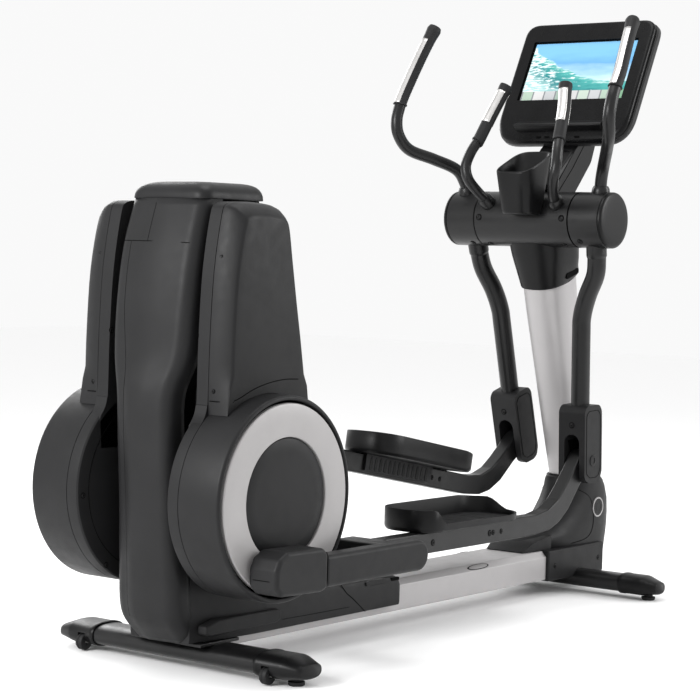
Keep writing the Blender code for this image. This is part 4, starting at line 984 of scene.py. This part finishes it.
TRAY_Z = -0.139  # underside of a pedal, in its arm's frame
BAR = [
    (-1.17, -0.195), (-0.272, -0.197), (-0.192, -0.19), (-0.139, -0.171), (-0.087, -0.135),
    (-0.03, -0.072),
    (0.018, -0.028), (0.033, 0.0), (0.023, 0.023), (0.0, 0.032), (-0.026, 0.02), (-0.066, -0.026),
    (-0.105, -0.068), (-0.144, -0.104), (-0.196, -0.13), (-0.26, -0.1395), (-1.17, -0.1395),
]
for s, tag in SIDES:
    body = ARM_BODY[s]
    at = ARM[s]
    line = rounded(BAR, [0.006] + [0.05] * 6 + [0.02] * 3 + [0.05] * 6 + [0.006], 5)
    bar = piece("pedal_bar" + tag, prism(line, *span(s, ARM_Y - 0.021, ARM_Y + 0.021)), TUBE, body,
                at,
                (side_of("pedal_arm", s),))
    soften(bar, 0.009, 4, 40)
    eye = [(0.0126, ARM_Y - 0.0235), (0.021, ARM_Y - 0.0235), (0.022, ARM_Y - 0.0225),
           (0.022, ARM_Y + 0.0225),
           (0.021, ARM_Y + 0.0235), (0.0126, ARM_Y + 0.0235)]
    piece("pivot_bush" + tag, lathe(mirrored(eye, s), 48), STEEL, body, at)
    cross = rounded([(-1.17, -0.181), (-1.098, -0.181), (-1.098, -0.12), (-1.17, -0.12)], 0.01)
    soften(piece("cross_piece" + tag, prism(cross, *span(s, 0.17, 0.35)), TUBE, body, at), 0.003)
    line = [(-1.4835, -0.184), *arc(-1.109, -0.146, 0.038, -90, 90, 19), (-1.4835, -0.108)]
    link = piece("link" + tag, prism(line, *span(s, 0.335, 0.385)), COVER, body, at)
    soften(link, 0.012, 5, 40)
    outline = rounded([
        (-1.671, -0.165), (-1.65, -0.186), (-1.503, -0.19), (-1.483, -0.184), (-1.483, -0.1),
        (-1.5, -0.088), (-1.63, -0.086), (-1.658, -0.1), (-1.671, -0.125)], 0.018, 6)
    crank_box = piece("crank_cover" + tag, prism(outline, *span(s, 0.3055, 0.39)), COVER, body, at,
                      (side_of("crank_box", s),))
    soften(crank_box, 0.013, 5, 40)
    y_in, y_out, e = 0.308, 0.3888, 0.012
    box_line = [(-1.483, y_out - 0.002), (-1.5, y_out), (-1.64, y_out), (-1.655, y_out - 0.003),
                (-1.666, y_out - e),
             (-1.6712, y_out - e - 0.01), (-1.6712, y_in + 0.012)]
    seam("crank_seam" + tag, [(x, y * s, -0.15) for x, y in box_line], body, at, 0.001)
    ends = [(-1.4835, y * s, z) for y, z in (
        (y_out - 0.006, -0.176), (y_out - 0.0015, -0.165), (y_out - 0.0015, -0.11),
        (y_out - 0.006, -0.099))]
    seam("link_seam" + tag, ends, body, at, 0.001)
    reach = (pin_place(-1) - pivot_place(-1)).to_3d().xzy
    pin = [(0, 0.2985), (0.0195, 0.2985), (0.02, 0.299), (0.02, 0.33), (0, 0.33)]
    at_pin = at @ Matrix.Translation(reach)
    piece("pin" + tag, lathe(mirrored(pin, s), 64), STEEL, body, at_pin, (side_of("crank_pin", s),))
    boot = [(0.0205, 0.3), (0.03, 0.3), (0.033, 0.303), (0.034, 0.308), (0.0205, 0.308)]
    piece("pin_boot" + tag, lathe(mirrored(boot, s), 64), RUBBER, body, at_pin)

    # Pedal: a tray with a tall wall inboard and behind, low outboard, and a ribbed floor
    y0, y1 = 0.036, 0.214
    corners = [(-0.836, y0), (-0.836, y1), (-0.364, y1), (-0.364, y0)]
    radii = [0.085, 0.095, 0.105, 0.1]

    def wall_top(x, y):
        across = min(1.0, max(0.0, (y - 0.082) / 0.075))
        across = across * across * (3 - 2 * across)
        rear = min(1.0, max(0.0, (x + 0.795) / 0.05))
        rear = rear * rear * (3 - 2 * rear)
        along = min(1.0, max(0.0, (x + 0.46) / 0.07))
        return -0.0795 - 0.042 * across * rear * (1 - 0.25 * along) - 0.006 * along

    def tray_line(inset):
        moved = [(x + (inset if x < -0.6 else -inset), y + (inset if y < 0.1 else -inset))
                 for x, y in corners]
        return rounded(moved, [max(0.01, r - inset) for r in radii], 9)

    loops = []
    for inset, level in ((0.006, 0.0), (0.001, 0.1), (0.0, 0.2), (0.0, 0.96), (0.0012, 1.0),
                         (0.0048, 1.0),
                         (0.006, 0.95), (0.0085, 0.16), (0.012, 0.145)):
        loops.append([(x, y * s, TRAY_Z + level * (wall_top(x, y) - TRAY_Z))
                      if level > 0.15 and inset < 0.008
                      else (x, y * s, TRAY_Z + (0.0085 if inset > 0.01 else level * 0.06))
                      for x, y in tray_line(inset)])
    piece("pedal_tray" + tag, rings(loops), BLACK, body, at, (side_of("pedal", s),), angle=40)
    for k in range(17):
        y = 0.061 + k * 0.0081
        pull = 0.03 if k in (0, 16) else (0.014 if k in (1, 15) else 0.004)
        rib = [(-0.806 + pull, -0.131), (-0.392 - pull, -0.131), (-0.3935 - pull, -0.1285),
               (-0.8045 + pull, -0.1285)]
        piece("tread_%02d%s" % (k, tag), prism(rib, *span(s, y, y + 0.0044)), TREAD, body, at)
    for k in range(3):
        x = -0.7 + k * 0.1
        bead = rounded([(x, -0.132), (x + 0.004, -0.132), (x + 0.004, -0.1278), (x, -0.1278)],
                       0.001)
        piece("tread_bar_%d%s" % (k, tag), prism(bead, *span(s, 0.062, 0.19)), TREAD, body, at)
    plate = rounded([(-0.79, -0.186), (-0.48, -0.186), (-0.468, -0.172), (-0.468, -0.1397),
                     (-0.79, -0.1397)], 0.004)
    piece("bracket" + tag, prism(plate, *span(s, 0.1335, 0.1405)), IRON, body, at,
          (side_of("pedal_bracket", s),))
    for k in range(13):
        x = -0.772 + k * 0.0225
        fin = [(x, -0.178), (x + 0.004, -0.183), (x + 0.012, -0.183), (x + 0.016, -0.178),
               (x + 0.014, -0.15),
               (x + 0.008, -0.1425), (x + 0.002, -0.15)]
        soften(piece("fin_%02d%s" % (k, tag), prism(fin, *span(s, 0.1325, 0.1355)), BLACK, body,
                     at), 0.001, 2)
    for k, x in enumerate((-0.77, -0.5)):
        screw("pedal_bolt_%d%s" % (k, tag), (x, (ARM_Y + 0.021) * s, -0.168), (0, s, 0), body, at,
              0.0065)
    for k, x in enumerate((-0.4825, -0.4425)):
        screw("arm_bolt_%d%s" % (k, tag), (x, (ARM_Y + 0.021) * s, -0.168), (0, s, 0), body, at,
              0.0055)
        screw("arm_bolt_in_%d%s" % (k, tag), (x + 0.03, (ARM_Y - 0.021) * s, -0.168), (0, -s, 0),
              body, at, 0.0055)

# --- Console -----------------------------------------------------------------------------


def screen_look():
    """A made-up picture: bright sky, a long green wave with foam, and a row of plain blocks."""
    made = bpy.data.materials.new("screen_picture")
    made.use_nodes = True
    tree = made.node_tree
    shader = tree.nodes["Principled BSDF"]
    shader.inputs["Roughness"].default_value = 0.12
    shader.inputs["Emission Strength"].default_value = 0.22
    place = tree.nodes.new("ShaderNodeTexCoord")
    split = tree.nodes.new("ShaderNodeSeparateXYZ")
    tree.links.new(place.outputs["Generated"], split.inputs["Vector"])
    across, up = split.outputs["X"], split.outputs["Y"]

    def math_node(operation, a, b=None, c=None, clamp=False):
        node = tree.nodes.new("ShaderNodeMath")
        node.operation = operation
        node.use_clamp = clamp
        for socket, value in zip(node.inputs, (a, b, c)):
            if value is None:
                continue
            if isinstance(value, float):
                socket.default_value = value
            else:
                tree.links.new(value, socket)
        return node.outputs[0]

    def noise(size, detail, stretch):
        mapping = tree.nodes.new("ShaderNodeMapping")
        mapping.inputs["Scale"].default_value = stretch
        tree.links.new(place.outputs["Generated"], mapping.inputs["Vector"])
        node = tree.nodes.new("ShaderNodeTexNoise")
        node.inputs["Scale"].default_value = size
        node.inputs["Detail"].default_value = detail
        tree.links.new(mapping.outputs["Vector"], node.inputs["Vector"])
        return node.outputs["Fac"]

    def ramp(value, stops):
        node = tree.nodes.new("ShaderNodeValToRGB")
        while len(node.color_ramp.elements) < len(stops):
            node.color_ramp.elements.new(0.5)
        for element, (at, colour) in zip(node.color_ramp.elements, stops):
            element.position = at
            element.color = (*colour, 1)
        tree.links.new(value, node.inputs["Fac"])
        return node.outputs["Color"]

    def mix(factor, a, b):
        node = tree.nodes.new("ShaderNodeMix")
        node.data_type = "RGBA"
        tree.links.new(factor, node.inputs["Factor"])
        tree.links.new(a, node.inputs["A"])
        tree.links.new(b, node.inputs["B"])
        return node.outputs["Result"]

    sky = ramp(math_node("ADD", up, math_node("MULTIPLY", noise(3.0, 4.0, (1, 2, 1)), 0.35)),
               [(0.45, (0.45, 0.62, 0.7)), (0.8, (0.1, 0.28, 0.5)), (1.0, (0.14, 0.36, 0.58))])
    crest = math_node("ADD", math_node("MULTIPLY", math_node("POWER", math_node("SUBTRACT", 1.0,
                                                                                across), 2.2),
                                                                                0.62),
                      math_node("MULTIPLY", noise(6.0, 6.0, (1, 0.6, 1)), 0.22))
    height = math_node("SUBTRACT", math_node("ADD", crest, 0.2), up)
    in_sea = math_node("MULTIPLY", height, 30.0, clamp=True)
    sea = ramp(math_node("ADD", math_node("MULTIPLY", height, 1.4),
                         math_node("MULTIPLY", noise(9.0, 8.0, (1, 3, 1)), 0.45)),
               [(0.18, (0.55, 0.68, 0.66)), (0.3, (0.05, 0.3, 0.28)), (0.62, (0.01, 0.16, 0.17)),
                (0.9, (0.28, 0.46, 0.46))])
    foam = math_node("MULTIPLY", math_node("SUBTRACT", noise(14.0, 10.0, (1, 2, 1)),
                                           math_node("ADD", 0.42, math_node(
        "MULTIPLY", across, 0.35))), 9.0, clamp=True)
    white = ramp(across, [(0.0, (0.6, 0.7, 0.7)), (1.0, (0.52, 0.62, 0.66))])
    picture = mix(in_sea, sky, mix(foam, sea, white))
    column = math_node("FRACT", math_node("MULTIPLY", across, 9.0))
    blocks = math_node("MULTIPLY", math_node("SUBTRACT", column, 0.12),
                       40.0, clamp=True)
    tint = tree.nodes.new("ShaderNodeTexWhiteNoise")
    tint.noise_dimensions = "1D"
    tree.links.new(math_node("FLOOR", math_node("MULTIPLY", across, 9.0)), tint.inputs["W"])
    colours = ramp(tint.outputs["Value"], [(0.0, (0.42, 0.42, 0.42)), (0.45, (0.58, 0.58, 0.57)),
                                           (0.7, (0.05, 0.22, 0.09)), (0.86, (0.38, 0.39, 0.4))])
    edge = ramp(blocks, [(0.0, (0.16, 0.17, 0.18)), (1.0, (0.62, 0.62, 0.62))])
    bar = mix(blocks, edge, colours)
    in_bar = math_node("MULTIPLY", math_node("SUBTRACT", 0.155, up), 200.0, clamp=True)
    result = mix(in_bar, picture, bar)
    tree.links.new(result, shader.inputs["Base Color"])
    tree.links.new(result, shader.inputs["Emission Color"])
    return made


def console_line(top, bottom, side, corner, count=10):
    line = [(side, bottom), (side, top), (-side, top), (-side, bottom)]
    return rounded(line, [corner * 1.9, corner, corner, corner * 1.9], count)


def console_rings(levels):
    return rings([[(x, y, z) for x, y in console_line(*size)] for *size, z in levels])


back = console_rings((
    (0.166, -0.244, 0.228, 0.045, -0.0137), (0.1675, -0.2455, 0.2315, 0.046, -0.016),
    (0.168, -0.246, 0.232, 0.046, -0.03), (0.165, -0.242, 0.229, 0.048, -0.036),
    (0.15, -0.224, 0.214, 0.05, -0.05), (0.13, -0.202, 0.197, 0.05, -0.061),
    (0.12, -0.19, 0.19, 0.048, -0.0655), (0.108, -0.178, 0.178, 0.045, -0.068),
))
piece("console_shell", back, SHELL, "base", SCREEN, ("console_back",), angle=50)
gap = console_rings(((0.164, -0.242, 0.222, 0.044, -0.0145), (0.164, -0.242, 0.222, 0.044, -0.012)))
piece("console_gap", gap, SEAM_AND_SHADE, "base", SCREEN)
front = console_rings((
    (0.166, -0.244, 0.224, 0.045, -0.013), (0.168, -0.246, 0.226, 0.045, -0.0105),
    (0.168, -0.243, 0.226, 0.045, -0.002),
    (0.1672, -0.238, 0.2252, 0.0445, 0.0015), (0.1652, -0.231, 0.2232, 0.0435, 0.0042),
    (0.162, -0.224, 0.22, 0.042, 0.0058), (0.158, -0.217, 0.216, 0.04, 0.006),
))
bezel = piece("bezel", front, GLOSS, "base", SCREEN, ("console_bezel",), angle=50)
WINDOW = [(0.183, -0.104), (0.183, 0.104), (-0.183, 0.104), (-0.183, -0.104)]
carve(bezel, slab(rounded(WINDOW, 0.004), -0.007, 0.05))
bezel.data.transform(SCREEN)
bezel.matrix_world = Matrix()
surround = rings([[(x, y, z) for x, y in rounded([(px * k, py * k) for px, py in WINDOW], 0.004)]
               for k, z in ((0.998, -0.0068), (0.998, -0.002), (0.972, -0.0014),
                            (0.9715, -0.0026))])
piece("screen_surround", surround, BLACK, "base", SCREEN)
GLASS = [(0.1772, -0.0997), (0.1772, 0.0997), (-0.1772, 0.0997), (-0.1772, -0.0997)]
piece("screen", slab(rounded(GLASS, 0.001), -0.0035, -0.0012), screen_look(), "base", SCREEN,
      ("console_screen",))
shelf = rings([[(x, y, z) for x,
                y in rounded([(-0.152, a), (0.152, a), (0.152, b), (-0.152, b)], 0.008)]
               for z, a, b in ((0.004, -0.214, -0.176), (0.012, -0.211, -0.184),
                               (0.022, -0.208, -0.194),
                               (0.0255, -0.2065, -0.197), (0.0262, -0.2055, -0.198))])
piece("reading_rack", shelf, BLACK, "base", SCREEN, angle=50)
# Painted shade: near-black patches on the underside stand in for the shade inside the ports
for k, x in enumerate((-0.066, -0.036, 0.068)):
    port = rounded([(x - 0.009, -0.236), (x + 0.009, -0.236), (x + 0.009, -0.229),
                    (x - 0.009, -0.229)], 0.003)
    piece("port_%d" % k, slab(port, 0.0, 0.0045), SEAM_AND_SHADE, "base", SCREEN)
for s in (1, -1):
    # Painted shade: near-black strips on the back stand in for the shade inside the vent slots
    for k in range(6):
        y = -0.15 + k * 0.013
        vent = rounded([(s * 0.06, y), (s * 0.13, y), (s * 0.13, y + 0.005), (s * 0.06, y + 0.005)],
                       0.002)
        piece(side_of("vent_%d" % k, s), slab(vent, -0.0686, -0.0672), SEAM_AND_SHADE, "base", SCREEN)
    screw(side_of("back_screw", s), (s * 0.15, 0.085, -0.0664), (0, 0, -1), "base", SCREEN, 0.005)

STALK = [(0.655, 1.172), (0.755, 1.15), (0.88, 1.284), (0.9025, 1.34), (0.902, 1.432),
         (0.862, 1.375), (0.79, 1.318)]
stalk = piece("console_stalk",
              prism(rounded(STALK, [0, 0, 0.06, 0.04, 0, 0, 0.05], 6), -0.062, 0.062), BLACK,
              replaces=("console_neck",))
carve(stalk, hub_tool())
soften(stalk, 0.009, 4)
for s in (1, -1):
    seam(side_of("stalk_seam", s),
         [(0.7, 0.0622 * s, 1.19), (0.775, 0.0622 * s, 1.262), (0.85, 0.0622 * s, 1.348)])
STALK_TILT = 0.7205
AT_TRAY = Matrix.Translation((0.7275, 0.0, 1.2535)) @ Matrix((
    (0, math.cos(STALK_TILT), -math.sin(STALK_TILT), 0), (-1, 0, 0, 0),
    (0, math.sin(STALK_TILT), math.cos(STALK_TILT), 0), (0, 0, 0, 1)))
dish = rings([[(x, y, z) for x,
               y in rounded([(-half, low), (half, low), (half, high), (-half, high)], 0.018)]
              for half, low, high, z in ((0.06, -0.085, 0.088, -0.003), (0.06, -0.085, 0.088, 0.01),
                                         (0.058, -0.083, 0.086, 0.012),
                                         (0.053, -0.078, 0.081, 0.0115),
                                         (0.051, -0.076, 0.079, 0.0))])
piece("phone_tray", dish, BLACK, "base", AT_TRAY, angle=50)

# --- Fixed handles and cup holder --------------------------------------------------------

FIXED_PATH = [
    (-0.036, 0.112, 0.025), (-0.078, 0.118, 0.05), (-0.112, 0.13, 0.078), (-0.136, 0.146, 0.112),
    (-0.138, 0.155, 0.15), (-0.124, 0.149, 0.19), (-0.104, 0.14, 0.222),
]
for s, tag in SIDES:
    tube = smooth_path(flat(FIXED_PATH, s), 9)
    piece("rail" + tag, sweep(tube, (0.0155, 0.0155), 36), TUBE, "base", AT_HUB,
          (side_of("fixed_handle", s),))
    collar = smooth_path(flat([(-0.046, 0.1135, 0.031), (-0.07, 0.117, 0.045),
                               (-0.09, 0.122, 0.06)], s), 4)
    sizes = [(0.0225, 0.0225)] * (len(collar) - 2) + [(0.0215, 0.0215), (0.018, 0.018)]
    piece("rail_collar" + tag, sweep(collar, sizes, 40), TUBE, "base", AT_HUB, angle=30)
    end = tube[-1]
    ahead = (tube[-1] - tube[-2]).normalized()
    grip = smooth_path([end + ahead * 0.0008, end + ahead * 0.013]
                       + [Vector(p) for p in flat([(-0.052, 0.122, 0.315), (-0.014, 0.102, 0.392)],
                                                  s)], 12)
    sizes = grip_sizes(len(grip) - 1, 0.018, 0.0017, 0.12, 0.08, 0.0008, 0.008)
    piece("rail_grip" + tag, sweep(grip, sizes, 40), RUBBER, "base", AT_HUB,
          (side_of("fixed_grip", s),), angle=50)
    low_z, high_z = grip[0].z, grip[-1].z
    part = [row for row in along_grip(grip, sizes)
            if 0.3 < (row[0].z - low_z) / (high_z - low_z) < 0.9]
    contact_plates("rail_contact", tag, part, (("front", 128, 232), ("rear", -52, 52)), "base",
                   AT_HUB)


CUP_Y, RIM_X, RIM_Z, RIM_SLOPE = -0.025, 0.485, 1.235, 0.45


def cup_loop(cx, deep, across, z=None, drop=0.0):
    """A rounded square. Without a height it lies on the slanted plane of the rim."""
    return [(x, y, RIM_Z + (x - RIM_X) * RIM_SLOPE - drop if z is None else z)
            for x, y in squircle(cx, deep, across, 0.5, cy=CUP_Y)]


cup = rings([
    cup_loop(0.561, 0.04, 0.04, 1.1182), cup_loop(0.561, 0.0445, 0.0445, 1.1192),
    cup_loop(0.561, 0.0475, 0.0475, 1.1225),
    cup_loop(0.561, 0.049, 0.049, 1.127), cup_loop(0.565, 0.0748, 0.0618, drop=0.005),
    cup_loop(0.565, 0.075, 0.062, drop=0.002), cup_loop(0.565, 0.0742, 0.0612),
    cup_loop(0.565, 0.0712, 0.0582),
    cup_loop(0.5645, 0.0698, 0.0568, drop=0.002), cup_loop(0.56, 0.06, 0.052, drop=0.03),
    cup_loop(0.5495, 0.0335, 0.043, 1.132), cup_loop(0.5495, 0.03, 0.0395, 1.1275)])
carve(piece("cup", cup, BLACK, replaces=("cup_holder",), angle=50), hub_tool())

# --- Inner nodes that show through the gaps ----------------------------------------------

NODES["crank_shaft"].data.materials[0] = STEEL
NODES["drive_belt"].data.materials[0] = RUBBER
for name in ("drive_pulley", "swing_axle", "upright_left", "upright_right", "flywheel",
             "generator"):
    NODES[name].data.materials[0] = IRON

# --- Stage -------------------------------------------------------------------------------

floor_look = bpy.data.materials.new("floor")
floor_look.use_nodes = True
floor_inputs = floor_look.node_tree.nodes["Principled BSDF"].inputs
floor_inputs["Base Color"].default_value = (0.98, 0.98, 0.98, 1)
floor_inputs["Roughness"].default_value = 0.9
floor_mesh = bpy.data.meshes.new("floor")
floor_mesh.from_pydata([(-14, -14, 0), (14, -14, 0), (14, 14, 0), (-14, 14, 0)], [], [(0, 1, 2, 3)])
floor_mesh.materials.append(floor_look)
floor = bpy.data.objects.new("floor", floor_mesh)
floor.location.z = -0.0005
bpy.context.scene.collection.objects.link(floor)

world = bpy.data.worlds.new("studio")
world.use_nodes = True
world.node_tree.nodes["Background"].inputs["Color"].default_value = (1.0, 1.0, 1.0, 1)
world.node_tree.nodes["Background"].inputs["Strength"].default_value = 0.95
bpy.context.scene.world = world


def area(name, spot, target, size, power):
    light = bpy.data.lights.new(name, "AREA")
    light.shape = "RECTANGLE"
    light.size, light.size_y = size
    light.energy = power
    obj = bpy.data.objects.new(name, light)
    obj.location = spot
    obj.rotation_euler = (Vector(target) - Vector(spot)).to_track_quat("-Z", "Y").to_euler()
    bpy.context.scene.collection.objects.link(obj)


area("key", (-4.4, 0.8, 2.2), (-0.6, 0, 0.6), (1.6, 1.6), 165)
area("side", (3.2, -3.4, 2.4), (0.2, 0, 0.8), (1.2, 2.4), 90)
area("back", (1.5, 4.2, 2.6), (0, 0, 0.8), (2.4, 2.0), 80)
area("top", (0, 0, 4.2), (0, 0, 0), (2.0, 2.0), 45)

azimuth, elevation, roll = math.radians(-52.72), math.radians(2.83), math.radians(1.49)
level_way = math.cos(elevation)
back_way = Vector((math.sin(azimuth) * level_way, -math.cos(azimuth) * level_way,
                   math.sin(elevation)))
right_way = Vector((math.cos(azimuth), math.sin(azimuth), 0))
up_way = back_way.cross(right_way)
axis_x = right_way * math.cos(roll) + up_way * math.sin(roll)
axis_y = up_way * math.cos(roll) - right_way * math.sin(roll)
camera_data = bpy.data.cameras.new("camera")
camera_data.sensor_width = 36.0
camera_data.lens = 107.81
camera_data.clip_end = 60.0
camera = bpy.data.objects.new("camera", camera_data)
turn = Matrix((axis_x, axis_y, back_way)).transposed().to_4x4()
camera.matrix_world = Matrix.Translation(Vector((-0.21, 0, 0.742)) + back_way * 5.497) @ turn
bpy.context.scene.collection.objects.link(camera)
bpy.context.scene.camera = camera
bpy.context.scene.view_settings.view_transform = "Standard"

bpy.context.view_layer.update()
